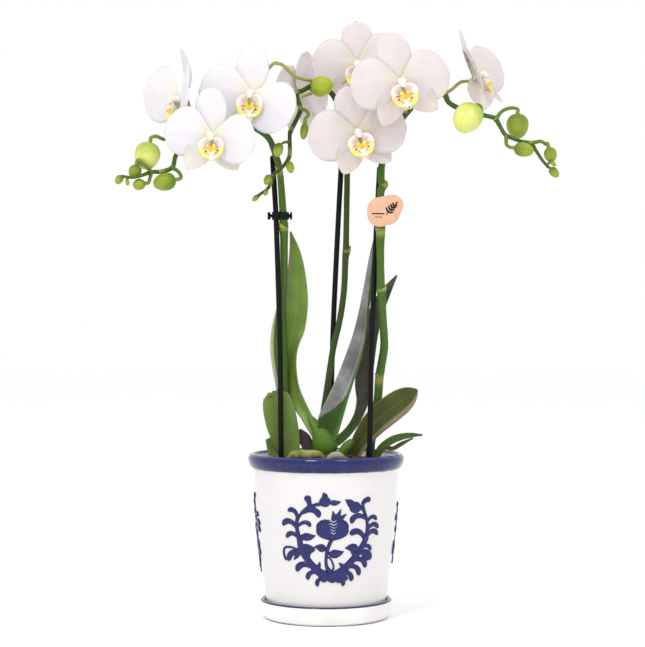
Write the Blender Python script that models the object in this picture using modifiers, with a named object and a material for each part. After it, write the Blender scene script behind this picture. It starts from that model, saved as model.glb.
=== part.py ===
"""Potted moth orchid: a glazed pot on its saucer, three flower spikes, leaves, stakes and a label.

Sizes in the tables are millimetres and become metres in the helpers. The origin is the middle of
the saucer's flat underside, +Z is up and -Y is the side that most of the flowers face. Everything
above the pot is placed from the middle of the pot's rim, so a taller pot lifts the plant with it.
"""

from math import cos, hypot, pi, radians, sin

import bmesh
import bpy
from mathutils import Matrix, Vector
from mathutils.geometry import intersect_point_line

MM = 0.001
FIT = 0.3  # gap between pieces that touch
MERGE = 0.00001  # metres, for every merge

# Saucer
SAUCER_RADIUS = 45.8
SAUCER_HEIGHT = 13.3
SAUCER_WALL = 3.2
SAUCER_FLOOR = 3.5
SAUCER_FOOT_RADIUS = 41.0
SAUCER_BEND = 4.0
SAUCER_CORNER = 1.2  # inside, where the wall meets the floor
SAUCER_ROOM = 1.6  # gap between the pot and the wall
SAUCER_LEAN = 0.6
SAUCER_HEEL_OUT, SAUCER_HEEL_UP = 2.4, 0.9

# Pot
POT_HEIGHT = 110.7  # from its foot to the top of its rim
POT_RIM_RADIUS = 54.5
POT_RIM_HEIGHT = 10.3
POT_RIM_STEP = 3.4  # how far the rim stands out from the body
POT_BELLY_DROP = 32.0
POT_BELLY_INSET = 5.1
POT_WALL = 4.4
POT_FLOOR = 5.5
DRAIN_RADIUS = 5.0
POT_BEAD = 2.2
POT_NECK_DROP = 1.5  # the crease under the rim
POT_SHOULDER_INSET, POT_SHOULDER_DROP = 0.9, 8.0
POT_HEEL_OUT, POT_HEEL_UP = 0.9, 8.0
POT_LEDGE_DROP = 3.0  # inside, where the wall starts to thicken into the rim
POT_THROAT_INSET, POT_THROAT_UP = 5.6, 2.0
POT_MOUTH_INSET, POT_MOUTH_DROP = 4.6, 1.2

# Grow pot and bark
GROW_WALL = 0.9
GROW_LIP = 1.6
GROW_RIM_DROP = 9.0  # its rim, below the top of the pot's rim
GROW_ROOM = 1.0  # gap between it and the glazed pot
BARK_EDGE_DROP = 7.0  # edge of the bark, below the top of the pot's rim
BARK_MOUND = 5.0
BARK_SLACK = 0.6
BARK_SHOULDER = 2.5  # its edge, down to where it meets the grow pot
BARK_RINGS = (0.35, 0.7)
GROW_LIP_BEND = 1.0

# Stakes, clip and label
STAKE_RADIUS = 1.9
STAKE_DEPTH = 70.0  # length in the bark
CLIP_HEIGHT = 5.2
CLIP_WALL = 1.3
CLIP_LEVEL = 165.8
CLIP_SLACK = 0.35  # lets the clip stay clear of a stem that leans
CLIP_TAB_LEFT, CLIP_TAB_RIGHT = 3.4, 3.0
CLIP_TAB_DEPTH = 2.4
CLIP_TAB_SHARE = 0.7  # of the clip's height
HOLE_ABOVE = 20.0  # how far a cutter stands out of what it cuts
LABEL_THICKNESS = 0.6
LABEL_LEVEL = 168.0
LABEL_GAP = 0.25
LABEL_ASIDE = 0.9  # to the right of its stem

# Flower, in its own axes: x across, y up, z out of its face
BLADE = 0.8
WHORL_GAP = 1.3  # sepals behind petals, middle to middle
REFLEX = 0.0038  # how fast the blades curve back, per millimetre
DORSAL_LENGTH, DORSAL_WIDTH = 31.5, 21.0
LATERAL_LENGTH, LATERAL_WIDTH, LATERAL_ANGLE = 30.0, 18.0, -57.0
PETAL_LENGTH, PETAL_WIDTH, PETAL_ANGLE = 32.5, 33.0, 9.0
HUB_RADIUS = 3.2
SEPAL_SPOKES, PETAL_SPOKES = 27, 22
LIP_WIDTH, LIP_HEIGHT, LIP_DEPTH, LIP_DROP = 17.0, 21.0, 9.0, 9.0
LIP_TAPER = 0.5

LEAF_THICKNESS = 1.3
STAKE_SIDES, SPIKE_SIDES, PEDICEL_SIDES = 8, 6, 6
PEDICEL_RADIUS = 1.25
TIP_STALK_RADIUS = 0.9
NECK_LENGTH = 2.5
BUD_SWELL, BUD_TAPER = 1.08, 0.32

# Each worked out from the sizes above
POT_FOOT = SAUCER_FLOOR + FIT
POT_FOOT_RADIUS = SAUCER_RADIUS - SAUCER_WALL - SAUCER_ROOM
RIM_TOP = POT_FOOT + POT_HEIGHT
POT_INSIDE = POT_RIM_RADIUS - POT_RIM_STEP - POT_WALL
GROW_RADIUS = POT_INSIDE - GROW_ROOM
GROW_FOOT = POT_FOOT + POT_FLOOR + FIT
GROW_FOOT_RADIUS = POT_FOOT_RADIUS - POT_WALL - 2 * GROW_ROOM
BARK_FOOT = GROW_FOOT + GROW_WALL + FIT
BARK_RADIUS = GROW_RADIUS - GROW_WALL - FIT

# Stakes: points from the rim's middle (across, deep, up)
STAKES = {
    "stake_left": [(-31.5, -2, -4), (-32.4, -2, 82), (-34.8, -0.3, 160), (-35.3, 0.2, 171),
                   (-37.6, 5, 208)],
    "stake_middle": [(2.1, 17, -2), (3.5, 17, 36), (5.3, 17, 93), (8.5, 16, 160), (11.3, 14, 213)],
    "stake_right": [(30.1, -14, -4), (31.4, -13, 72), (33.4, -5.6, 118), (34.8, -3.6, 150),
                    (37.4, -1, 200)],
}

# Spikes: points along the main stem (across, deep, up, radius)
SPIKES = {
    "flower_spike_left": [
        (-30, 10, -4, 3.0), (-29, 11, 20, 2.8), (-28.8, 10.5, 46, 2.7), (-29.2, 9, 64, 2.7),
        (-30.8, 6.6, 100, 2.7), (-29.6, 4.6, 130, 2.7), (-29.5, 2.2, 150, 2.8), (-29.6, 1, 158, 3.3),
        (-30.0, 0.3, 166, 2.7), (-31.2, -1.6, 184, 2.4), (-32.6, -3.5, 199, 2.3), (-35.2, -5, 208, 2.3),
        (-39, -6.5, 218, 2.2), (-44, -8, 223, 2.2), (-52.5, -8.5, 228, 2.1), (-63.5, -8.6, 234, 2.0),
        (-77, -10.5, 234, 1.9), (-90, -17, 225, 1.8), (-99, -22, 214, 1.7), (-103.5, -24, 205, 1.6),
        (-105.5, -25, 197.5, 1.6), (-113.5, -26.5, 194.5, 1.5), (-119.5, -29.5, 194, 1.4),
        (-125, -38, 191, 1.2), (-131, -40.3, 189.4, 1.1), (-138.5, -40, 190.3, 1.0),
    ],
    "flower_spike_middle": [
        (-3.4, 12.2, -1.3, 2.6), (-3.6, 12, 15, 2.4), (-2.1, 12, 26, 2.3), (0.6, 12, 44, 2.2),
        (4.9, 12, 72, 2.2), (9.7, 12, 93, 2.2), (12.7, 12, 114, 2.2), (13.7, 12, 136, 2.3),
        (14.4, 12, 142, 2.9), (14.2, 12, 148, 2.2), (14.9, 11, 192, 2.1), (14.8, 10, 212, 2.1),
        (13.8, 9, 229, 2.0), (9.6, 7, 243, 2.0), (2, 2, 254, 1.9), (-5, -3.5, 258, 1.8),
        (-10.4, -6, 256, 1.8), (-16.4, -8, 252.4, 1.7), (-20.4, -9, 250.5, 1.9), (-19.5, -10, 245, 1.6),
        (-17.7, -11, 239, 1.8), (-20.8, -12, 231.5, 1.5), (-24.3, -13, 224, 1.7), (-25.2, -14, 220, 1.4),
        (-25.2, -15, 207, 1.5), (-28.5, -15.5, 200.6, 1.3), (-32.6, -16, 196.4, 1.3),
        (-36, -16.5, 193.4, 1.3), (-38.8, -17, 186, 1.2), (-41.4, -17.5, 182.6, 1.1),
        (-45.5, -18, 179.7, 1.0), (-48.5, -18, 177.2, 1.7),
    ],
    "flower_spike_right": [
        (31, 10, -3.9, 3.2), (32, 9, 9, 3.1), (36.2, 5, 36, 3.0), (37.6, 3, 54, 3.1),
        (40.4, -1, 71.8, 2.9), (40.4, -4, 82, 2.8), (39.6, -6, 92.5, 2.8), (38.6, -8, 109, 2.9),
        (38.2, -8.3, 114, 3.3), (38, -8.5, 120, 2.8), (37.7, -8.5, 141.5, 2.7), (37.9, -8.5, 155.5, 3.3),
        (37.8, -8.5, 163, 2.7), (38, -8.5, 181.5, 2.6), (40.2, -8.5, 187, 3.0), (38.4, -8, 190, 2.5),
        (39.2, -7, 204, 2.4), (43, -6.5, 215, 2.3), (48, -7, 225, 2.3), (53, -9, 233, 2.2),
        (58.5, -11, 239.5, 2.1), (64, -12, 247.5, 2.0), (72.2, -13, 250.8, 1.9), (81.5, -14, 249.2, 2.1),
        (84.5, -13.5, 244, 1.8), (89.5, -13.8, 240.5, 1.8), (98.5, -15, 237.3, 1.7),
        (107.5, -15.5, 234.8, 1.6), (115, -15.5, 233, 1.6), (117.3, -15.5, 231.8, 1.8),
        (121, -16, 225.2, 1.4), (124.3, -17.5, 220.3, 1.5), (134.8, -17, 216.2, 1.3),
        (141.5, -16, 215, 1.4), (145.6, -15, 209.2, 1.2), (149.2, -14.5, 203.8, 1.1),
        (153.6, -14.2, 198.6, 1.0),
    ],
}

# Small buds that are one piece with their spike: centre, radius across, length, direction of the tip
TIP_BUDS = {
    "flower_spike_left": [
        ((-140.4, -40, 187.9), 2.9, 6.6, (-0.5, 0, -0.8)),
        ((-134.5, -40.5, 186.0), 1.5, 4.5, (0.1, 0, -1)),
    ],
    "flower_spike_middle": [
        ((-33.0, -17.0, 210.3), 3.7, 10.2, (-0.2, -0.2, -1)),
        ((-24.8, -16.5, 198.4), 3.0, 8.4, (0.2, -0.2, -1)),
        ((-40.2, -18.0, 189.6), 3.0, 7.6, (-0.4, -0.1, -0.8)),
        ((-41.5, -20.0, 180.5), 1.7, 4.6, (-0.3, -0.3, -0.8)),
        ((-48.8, -18.0, 176.9), 2.0, 5.4, (-0.7, 0, -0.7)),
    ],
    "flower_spike_right": [
        ((157.8, -14.0, 195.0), 3.3, 8.4, (0.6, 0, -0.7)),
        ((156.6, -19.6, 200.6), 1.7, 5.0, (0.5, -0.2, -0.6)),
    ],
}

# Buds on their own stalks: centre, width, length, direction of the tip, stalk's points from the spike
BUDS = {
    "bud_left_1": ((-122.5, -28, 205.2), 19.0, 19.4, (-0.22, 0, -0.97),
                   [(-90, -17, 225), (-100, -23, 219.5), (-110, -26, 216.6), (-116, -27.5, 218.6)]),
    "bud_left_2": ((-110.6, -28, 187.4), 13.3, 15.8, (-0.97, 0, -0.2),
                   [(-105.5, -25, 197.5), (-101.3, -26, 194.6), (-99.4, -27.5, 191.5)]),
    "bud_left_3": ((-130.3, -34.4, 193.7), 9.6, 9.8, (-0.25, 0.1, -0.97),
                   [(-119.5, -29.5, 194), (-121.5, -36.6, 196.5), (-125, -38.2, 199.6)]),
    "bud_left_4": ((-127.2, -36.2, 184.9), 8.4, 8.6, (-0.75, -0.5, -0.2),
                   [(-119.5, -29.5, 193.8), (-120.2, -31.5, 189.5)]),
    "bud_middle_1": ((-2.6, -14.6, 254.6), 15.4, 16.2, (0.72, -0.66, 0.1), [(-10.4, -6, 256)]),
    "bud_middle_2": ((-15.2, -16.5, 223.2), 6.0, 11.6, (-0.12, 0, -1),
                     [(-17.7, -11, 239), (-14.5, -13, 238.4), (-12.2, -15.4, 235)]),
    "bud_right_1": ((96.6, -29.5, 230.6), 21.4, 23.0, (-0.5, -0.5, -0.7),
                    [(107.5, -15.5, 234.8), (106.6, -18, 239.6)]),
    "bud_right_2": ((133.1, -9.5, 227.6), 16.6, 17.4, (0.02, 0.05, -1),
                    [(117.3, -15.5, 231.8), (121.5, -13, 237.2), (127.4, -10.6, 240)]),
    "bud_right_3": ((135.8, -22.5, 209.9), 10.8, 13.6, (0.97, -0.1, -0.2),
                    [(124.3, -17.5, 220.3), (124, -21, 214)]),
    "bud_right_4": ((155.2, -14, 207.2), 9.6, 10.4, (0.25, 0, -0.97),
                    [(141.5, -16, 215), (148.2, -15, 216.4), (152, -14.3, 214.6)]),
}

# Flowers: junction of the petals, turn (positive to the right), tilt up, roll, size, stalk from a spike
FLOWERS = {
    "flower_1": ((-104.6, -5, 244.2), -72, 4, 4, 0.97, "flower_spike_left",
                 [(-84, -15, 229.4), (-90, -10, 235), (-95, -6, 241)]),
    "flower_2": ((-77.4, -40, 218.2), -5, -4, -5, 0.97, "flower_spike_left",
                 [(-77, -10.5, 234), (-80, -18, 228.6), (-78.6, -30, 221)]),
    "flower_3": ((-51.6, -22, 249.0), -5, -3, 3, 1.03, "flower_spike_middle",
                 [(-5, -3.5, 258), (-10.2, -6, 259.6), (-16.4, -9, 260.4), (-22.6, -11, 262.6),
                  (-29.5, -13, 269), (-33, -13.5, 270.4), (-37, -13, 270), (-46, -11, 260),
                  (-51, -12.5, 250.6)]),
    "flower_4": ((50.1, -42, 253.9), 8, -3, -14, 1.06, "flower_spike_right",
                 [(56, -10, 236.5), (53, -20, 243), (50, -32, 251)]),
    "flower_5": ((21.6, -24, 222.0), 2, -4, -17, 1.02, "flower_spike_right",
                 [(41.5, -6.7, 211), (33, -8, 217), (24, -14, 221)]),
    "flower_6": ((22.5, 5, 272.9), -5, -3, -5, 1.02, "flower_spike_middle",
                 [(12, 8.5, 236), (15, 16, 250), (20, 17, 268), (22.5, 13.5, 272.8)]),
    "flower_7": ((-18.5, 24, 253.0), -125, 2, 0, 0.98, "flower_spike_middle",
                 [(-2.5, -1.2, 257), (-6, 8, 256), (-11, 17.5, 253.6)]),
    "flower_8": ((104.6, 6, 263.1), 75, 4, -8, 0.97, "flower_spike_right",
                 [(81.5, -14, 249.2), (87, -8, 253), (94, 2, 259.5)]),
}

# Leaves: stations (across, deep, up, width, turn of the face) from base to tip, and how far they fold
LEAVES = {
    "leaf_strap_left": ([(-10.6, 0.6, 18.4, 6, 0), (-14, 2.4, 25.5, 8, -15), (-18.2, 5, 33.5, 10.5, -35),
                         (-21.7, 7.4, 43, 12.5, -55), (-23.6, 9, 54, 13, -57), (-24.6, 10.4, 66, 13, -52),
                         (-24.4, 11.5, 76, 14, -35), (-22.2, 12.5, 90, 15.5, 0),
                         (-21, 12.5, 107, 15.5, 0), (-21, 13, 127, 11, 0), (-21.9, 12.5, 142, 6, 0),
                         (-25, 12, 154.5, 0.8, 0)], 1.6),
    "leaf_strap_right": ([(3.0, -1.8, 18.2, 8, 0), (7.5, -2.5, 30, 11, -10), (11.4, -2, 41, 14, -28),
                          (16, -1.5, 53.5, 16, -42), (20.6, -1, 68, 16, -46), (24.2, -0.5, 84, 15, -50),
                          (26.8, 0.5, 102, 13, -58), (29.2, 2.5, 120, 10, -60), (31, 4, 137, 6, -60),
                          (32.2, 4.6, 149, 0.8, -60)], 2.2),
    "leaf_keeled_back": ([(9.4, 3.4, 9.6, 6, 0), (16.5, 6.5, 20, 8, -25), (22, 9, 31, 10, -45),
                          (25.6, 11, 46, 12, -50), (28, 13, 64, 12, -45), (30.6, 14, 82, 11, -35),
                          (34.6, 14, 98, 10, -20), (41.5, 13, 112, 7, 0), (50, 12, 124, 0.8, 0)], 1.5),
    "leaf_broad_left": ([(-24.5, 4.6, -2.6, 12, 0), (-27, 4.6, 6, 18, 0), (-30, 4, 16.5, 21.5, 0),
                         (-32.5, 3.6, 27, 22.4, 0), (-34, 3.4, 34, 21, 0), (-35, 3.2, 40, 17.5, 0),
                         (-36.4, 3, 44.5, 9, 0)], 0.8),
    "leaf_upright_left": ([(-25.4, 19, -3.6, 6, 0), (-28, 19, 20, 8, 0), (-31, 18.5, 46, 9.5, 0),
                           (-33, 18, 61, 11, 0), (-34, 17.5, 74, 11.5, 0), (-34.2, 17, 88, 8.5, 0),
                           (-34.6, 16.5, 102, 0.8, 0)], 1.2),
    "leaf_broad_right": ([(20.4, -0.5, -1.9, 7, 0), (26.5, -2, 10.5, 13, 0), (34, -3.5, 21.6, 17.5, 0),
                          (43, -4.5, 29.3, 18, 0), (52.6, -6, 37, 13.5, 0), (62.2, -8, 43.8, 0.8, 0)], 2.0),
    "leaf_narrow_right": ([(33.6, -7.5, -3.9, 3.4, 0), (37.5, -8.6, 4.2, 6, 0), (44, -9.4, 8.8, 6.6, 0),
                           (51, -9.8, 11.2, 5.6, 0), (59, -9.8, 12.8, 4, 0), (67, -9.6, 13, 0.8, 0)], 1.0),
    "leaf_curl_right": ([(35.8, 0, -4.0, 2.4, 0), (40.5, 1.5, 3.2, 3, 0), (47, 2, 3.0, 3, 0),
                         (53.6, 2, 6.6, 2.8, 0), (61, 2, 10.2, 0.8, 0)], 0.4),
    "leaf_stub_left": ([(-36.4, 9, -4.9, 4.4, 0), (-38, 9.4, 2.6, 5, 0), (-41, 10, 9.6, 4, 0)], 0.5),
    "leaf_dark_back": ([(-11.8, 8.4, -2.0, 6, 0), (-13.2, 8.4, 5, 8.5, 0), (-16, 8.4, 11, 8, 0),
                        (-18.6, 8.4, 16, 1.5, 0)], 0.8),
}

CROWN = [(-0.7, 0, -1.6, 5.4), (-0.7, 0, 1.5, 7.4), (-0.9, 0, 6, 8.3), (-1.2, 0, 11, 8.1),
         (-1.8, 0, 15, 6.9), (-2.3, 0, 17.6, 5.0)]
STUB = [(10, -8.2, -1.3, 2.6), (12, -8.2, 1.9, 3.3), (14.6, -8.2, 5.4, 3.2), (17.4, -8, 8.4, 2.2)]
ROOTS = {
    "aerial_root_left": [(-25, -14, -1.6, 1.6), (-22.4, -16.6, -0.2, 2.7), (-17, -20, 0.2, 3.1),
                         (-10, -22.5, 0.4, 3.1), (-4.6, -22.6, 0, 2.6), (-2.0, -21.4, -0.9, 1.8)],
    "aerial_root_right": [(1.6, -23.8, -1.4, 1.6), (4.8, -24.2, -0.4, 2.5), (9, -23, -0.4, 2.5),
                          (12, -21, -1.0, 1.8)],
}
LABEL_CORNERS = [(-4.5, 4.0, 6.0), (8.6, 5.6, 6.3), (-4.0, -4.5, 6.2)]  # across, up, radius

COLOURS = {
    "glaze_white": ((0.86, 0.84, 0.82), 0.22), "clear_plastic": ((0.55, 0.57, 0.55), 0.3),
    "bark": ((0.16, 0.045, 0.024), 0.9), "stake_black": ((0.012, 0.012, 0.012), 0.45),
    "paper_tan": ((0.87, 0.53, 0.34), 0.7), "stem_green": ((0.09, 0.17, 0.026), 0.45),
    "leaf_green": ((0.16, 0.24, 0.05), 0.4), "petal_white": ((0.86, 0.82, 0.80), 0.5),
    "lip_gold": ((0.9, 0.62, 0.08), 0.45), "bud_green": ((0.42, 0.52, 0.10), 0.45),
    "root_green": ((0.55, 0.56, 0.33), 0.7),
}


# ------------------------------------------------------------------ scene and materials

def clear_scene():
    for item in list(bpy.data.objects):
        bpy.data.objects.remove(item, do_unlink=True)


def collection(name):
    made = bpy.data.collections.new(name)
    bpy.context.scene.collection.children.link(made)
    return made


def material(slot):
    found = bpy.data.materials.get(slot)
    if found:
        return found
    colour, roughness = COLOURS[slot]
    made = bpy.data.materials.new(slot)
    made.use_nodes = True
    shader = made.node_tree.nodes["Principled BSDF"]
    shader.inputs["Base Color"].default_value = (*colour, 1)
    shader.inputs["Roughness"].default_value = roughness
    shader.inputs["Metallic"].default_value = 0
    return made


def metres(point):
    return Vector(point[:3]) * MM


class Build:
    """The collections and the plant's empty, which every piece is put in or under."""

    def __init__(self):
        self.parts = collection("potted_orchid")
        self.cutters = collection("cutters")
        self.plant = bpy.data.objects.new("plant_origin", None)
        self.plant.location = metres((0, 0, RIM_TOP))
        self.parts.objects.link(self.plant)

    def add(self, name, data, slot, on_plant=False):
        piece = bpy.data.objects.new(name, data)
        data.materials.append(material(slot))
        self.parts.objects.link(piece)
        if on_plant:
            piece.parent = self.plant
        return piece

    def tool(self, name, data, on_plant=False):
        piece = bpy.data.objects.new(name, data)
        self.cutters.objects.link(piece)
        piece.hide_render = True
        piece.display_type = "WIRE"
        if on_plant:
            piece.parent = self.plant
        return piece


def combine(piece, tool, operation, solver="EXACT"):
    step = piece.modifiers.new(operation.lower(), "BOOLEAN")
    step.object = tool
    step.operation = operation
    step.solver = solver


def mesh_from(make, *values):
    """A mesh from a function that fills a bmesh with points in millimetres."""
    bm = bmesh.new()
    make(bm, *values)
    bmesh.ops.scale(bm, vec=(MM, MM, MM), verts=bm.verts)
    bmesh.ops.recalc_face_normals(bm, faces=bm.faces)
    mesh = bpy.data.meshes.new("mesh")
    bm.to_mesh(mesh)
    bm.free()
    mesh.shade_smooth()
    return mesh


# ------------------------------------------------------------------ turned pieces

def turned(build, name, profile, slot, steps):
    """A closed profile of (radius, height) turned round the vertical axis."""
    mesh = bpy.data.meshes.new(name)
    points = [metres((radius, 0, height)) for radius, height in profile]
    count = len(points)
    closed = profile[0][0] > 0
    edges = [(i, (i + 1) % count) for i in range(count if closed else count - 1)]
    mesh.from_pydata(points, edges, [])
    piece = build.add(name, mesh, slot)
    screw = piece.modifiers.new("turn", "SCREW")
    screw.steps = screw.render_steps = steps
    screw.use_merge_vertices = True
    screw.merge_threshold = MERGE
    screw.use_smooth_shade = True
    return piece


def arc(centre_radius, centre_height, radius, start, end, count):
    """Points on a round corner of a profile, from one angle to another in degrees."""
    angles = [radians(start + (end - start) * i / count) for i in range(count + 1)]
    return [(centre_radius + radius * cos(a), centre_height + radius * sin(a)) for a in angles]


def make_saucer(build):
    inner = SAUCER_RADIUS - SAUCER_WALL
    bead = SAUCER_WALL / 2
    profile = [(0, SAUCER_FLOOR), (inner - SAUCER_CORNER, SAUCER_FLOOR)]
    profile += [(inner, SAUCER_FLOOR + SAUCER_CORNER)]
    profile += arc(SAUCER_RADIUS - bead, SAUCER_HEIGHT - bead, bead, 180, 0, 3)
    profile += [(SAUCER_RADIUS - SAUCER_LEAN, SAUCER_BEND)]
    profile += [(SAUCER_FOOT_RADIUS + SAUCER_HEEL_OUT, SAUCER_HEEL_UP), (SAUCER_FOOT_RADIUS, 0), (0, 0)]
    turned(build, "saucer", profile, "glaze_white", 40)


def pot_outline():
    """The pot's outer side from the rim's top down to its foot."""
    body = POT_RIM_RADIUS - POT_RIM_STEP
    rim_foot = RIM_TOP - POT_RIM_HEIGHT
    outline = arc(POT_RIM_RADIUS - POT_BEAD, RIM_TOP - POT_BEAD, POT_BEAD, 90, 0, 2)
    outline += arc(POT_RIM_RADIUS - POT_BEAD, rim_foot + POT_BEAD, POT_BEAD, 0, -90, 1)
    outline += [(body, rim_foot - POT_NECK_DROP)]
    outline += [(body - POT_SHOULDER_INSET, RIM_TOP - 2 * POT_RIM_HEIGHT - POT_SHOULDER_DROP)]
    outline += [(body - POT_BELLY_INSET, RIM_TOP - POT_HEIGHT + POT_BELLY_DROP)]
    outline += [(POT_FOOT_RADIUS + POT_HEEL_OUT, POT_FOOT + POT_HEEL_UP)]
    outline += [(POT_FOOT_RADIUS, POT_FOOT + SAUCER_CORNER), (POT_FOOT_RADIUS - SAUCER_CORNER, POT_FOOT)]
    return outline


def make_pot(build):
    inside_foot = POT_FOOT_RADIUS - POT_WALL
    floor = POT_FOOT + POT_FLOOR
    profile = pot_outline() + [(DRAIN_RADIUS, POT_FOOT), (DRAIN_RADIUS, floor)]
    profile += [(inside_foot, floor)]
    profile += [(POT_INSIDE, RIM_TOP - POT_RIM_HEIGHT - POT_LEDGE_DROP)]
    profile += [(POT_RIM_RADIUS - POT_THROAT_INSET, RIM_TOP - POT_RIM_HEIGHT + POT_THROAT_UP)]
    profile += [(POT_RIM_RADIUS - POT_MOUTH_INSET, RIM_TOP - POT_MOUTH_DROP)]
    turned(build, "pot", profile, "glaze_white", 44)


def make_grow_pot(build):
    rim = RIM_TOP - GROW_RIM_DROP
    inner_foot = GROW_FOOT_RADIUS - GROW_WALL
    profile = [(GROW_RADIUS + GROW_LIP, rim), (GROW_RADIUS + GROW_LIP, rim - GROW_WALL)]
    profile += [(GROW_RADIUS, rim - GROW_WALL - GROW_LIP_BEND), (GROW_FOOT_RADIUS, GROW_FOOT)]
    profile += [(DRAIN_RADIUS, GROW_FOOT), (DRAIN_RADIUS, GROW_FOOT + GROW_WALL)]
    profile += [(inner_foot, GROW_FOOT + GROW_WALL), (GROW_RADIUS - GROW_WALL, rim)]
    turned(build, "grow_pot", profile, "clear_plastic", 32)


def bark_level(across, deep):
    """Height of the bark's surface at a place, from the rim's middle."""
    share = min(1, hypot(across, deep) / BARK_RADIUS)
    return -BARK_EDGE_DROP + BARK_MOUND * (1 - share * share)


def make_bark(build):
    foot = GROW_FOOT_RADIUS - GROW_WALL - FIT - BARK_SLACK
    slope = (BARK_RADIUS - foot) / (RIM_TOP - GROW_RIM_DROP - BARK_FOOT)
    edge = RIM_TOP - BARK_EDGE_DROP
    shoulder = edge - BARK_SHOULDER
    profile = [(0, RIM_TOP + bark_level(0, 0))]
    profile += [(r, RIM_TOP + bark_level(r, 0)) for r in (BARK_RADIUS * share for share in BARK_RINGS)]
    profile += [(BARK_RADIUS - BARK_SLACK, edge), (foot + slope * (shoulder - BARK_FOOT), shoulder)]
    profile += [(foot, BARK_FOOT), (0, BARK_FOOT)]
    bark = turned(build, "bark_bed", profile, "bark", 36)
    for name, points in STAKES.items():
        foot_point, above = stake_foot(points), Vector(points[0]) + Vector((0, 0, HOLE_ABOVE))
        run = [(*(foot_point - Vector((0, 0, FIT))), STAKE_RADIUS + FIT), (*above, STAKE_RADIUS + FIT)]
        combine(bark, tube(build, name + "_hole", run, None, STAKE_SIDES), "DIFFERENCE")


# ------------------------------------------------------------------ tubes and stems

def tube_curve(run, sides):
    """A straight-run tube through points (across, deep, up, radius), closed at both ends."""
    curve = bpy.data.curves.new("tube", "CURVE")
    curve.dimensions = "3D"
    curve.bevel_depth = MM
    curve.bevel_resolution = (sides - 4) // 2
    curve.use_fill_caps = True
    spline = curve.splines.new("POLY")
    spline.points.add(len(run) - 1)
    for point, values in zip(spline.points, run):
        point.co = (*metres(values), 1)
        point.radius = values[3]
    spline.use_smooth = True
    return curve


def solid_tube(run, sides):
    """The tube as a welded mesh, which can be cut or joined."""
    curve = bpy.data.objects.new("tube", tube_curve(run, sides))
    bpy.context.scene.collection.objects.link(curve)
    bpy.context.view_layer.update()
    seen = curve.evaluated_get(bpy.context.evaluated_depsgraph_get())
    mesh = bpy.data.meshes.new_from_object(seen)
    bm = bmesh.new()
    bm.from_mesh(mesh)
    bmesh.ops.remove_doubles(bm, verts=bm.verts, dist=MERGE)
    bmesh.ops.recalc_face_normals(bm, faces=bm.faces)
    bm.to_mesh(mesh)
    bm.free()
    bpy.data.objects.remove(curve, do_unlink=True)
    return mesh


def tube(build, name, run, slot, sides):
    """A tube on the plant: a piece of its own with a slot, or a tool without one."""
    mesh = solid_tube(run, sides)
    if slot:
        return build.add(name, mesh, slot, on_plant=True)
    return build.tool(name, mesh, on_plant=True)


def stake_foot(points):
    start = Vector(points[0])
    return Vector((start.x, start.y, start.z - STAKE_DEPTH))


def make_stakes(build):
    for name, points in STAKES.items():
        run = [(*stake_foot(points), STAKE_RADIUS)] + [(*point, STAKE_RADIUS) for point in points]
        tube(build, name, run, "stake_black", STAKE_SIDES)


def at_height(run, height):
    """Where a stem is at a height, and its radius there."""
    for low, high in zip(run, run[1:]):
        if low[2] <= height <= high[2]:
            share = (height - low[2]) / (high[2] - low[2])
            return [a + (b - a) * share for a, b in zip(low, high)]
    return list(run[-1])


def nearest_on(run, point):
    """The point on a stem's middle line that is nearest to a point."""
    spots = [intersect_point_line(point, Vector(a[:3]), Vector(b[:3])) for a, b in zip(run, run[1:])]
    places = [Vector(a[:3]).lerp(Vector(b[:3]), min(1, max(0, share)))
              for (_, share), a, b in zip(spots, run, run[1:])]
    return min(places, key=lambda place: (place - point).length)


def bud_shape(bm, width, length):
    """A plump bud that points along +Z, with its stalk end at the origin."""
    bmesh.ops.create_uvsphere(bm, u_segments=10, v_segments=7, radius=0.5)
    for vert in bm.verts:
        along = vert.co.z + 0.5
        swell = BUD_SWELL - BUD_TAPER * along
        vert.co = Vector((vert.co.x * width * swell, vert.co.y * width * swell, along * length))


def pointing(direction):
    return Vector(direction).normalized().to_track_quat("Z", "Y")


def bud_foot(centre, length, direction):
    return Vector(centre) - Vector(direction).normalized() * length / 2


def make_spike(build, name):
    spike = tube(build, name, SPIKES[name], "stem_green", SPIKE_SIDES)
    for index, (centre, radius, length, direction) in enumerate(TIP_BUDS[name]):
        foot, heart = bud_foot(centre, length, direction), Vector(centre)
        ends = (nearest_on(SPIKES[name], foot), foot.lerp(heart, 0.5))
        run = [(*end, TIP_STALK_RADIUS) for end in ends]
        combine(spike, tube(build, f"{name}_stalk_{index}", run, None, PEDICEL_SIDES), "UNION", "MANIFOLD")
        bud = build.tool(f"{name}_bud_{index}", mesh_from(bud_shape, 2 * radius, length), on_plant=True)
        bud.location = metres(foot)
        bud.rotation_euler = pointing(direction).to_euler()
        combine(spike, bud, "UNION", "MANIFOLD")
    return spike


def add_stalk(build, spike, name, points, end, heading):
    """Joins a stalk to its spike; its last stretch runs straight along what it carries."""
    neck = Vector(end) - Vector(heading).normalized() * NECK_LENGTH
    run = [(*point, PEDICEL_RADIUS) for point in (*points, neck, end)]
    combine(spike, tube(build, name + "_stalk", run, None, PEDICEL_SIDES), "UNION", "MANIFOLD")


def make_buds(build, spikes):
    for name, (centre, width, length, direction, stalk) in BUDS.items():
        foot = bud_foot(centre, length, direction)
        bud = build.add(name, mesh_from(bud_shape, width, length), "bud_green", on_plant=True)
        bud.location = metres(foot)
        bud.rotation_euler = pointing(direction).to_euler()
        spike = spikes["flower_spike_" + name.split("_")[1]]
        add_stalk(build, spike, name, stalk, foot - Vector(direction).normalized() * FIT, direction)


# ------------------------------------------------------------------ flowers

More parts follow.
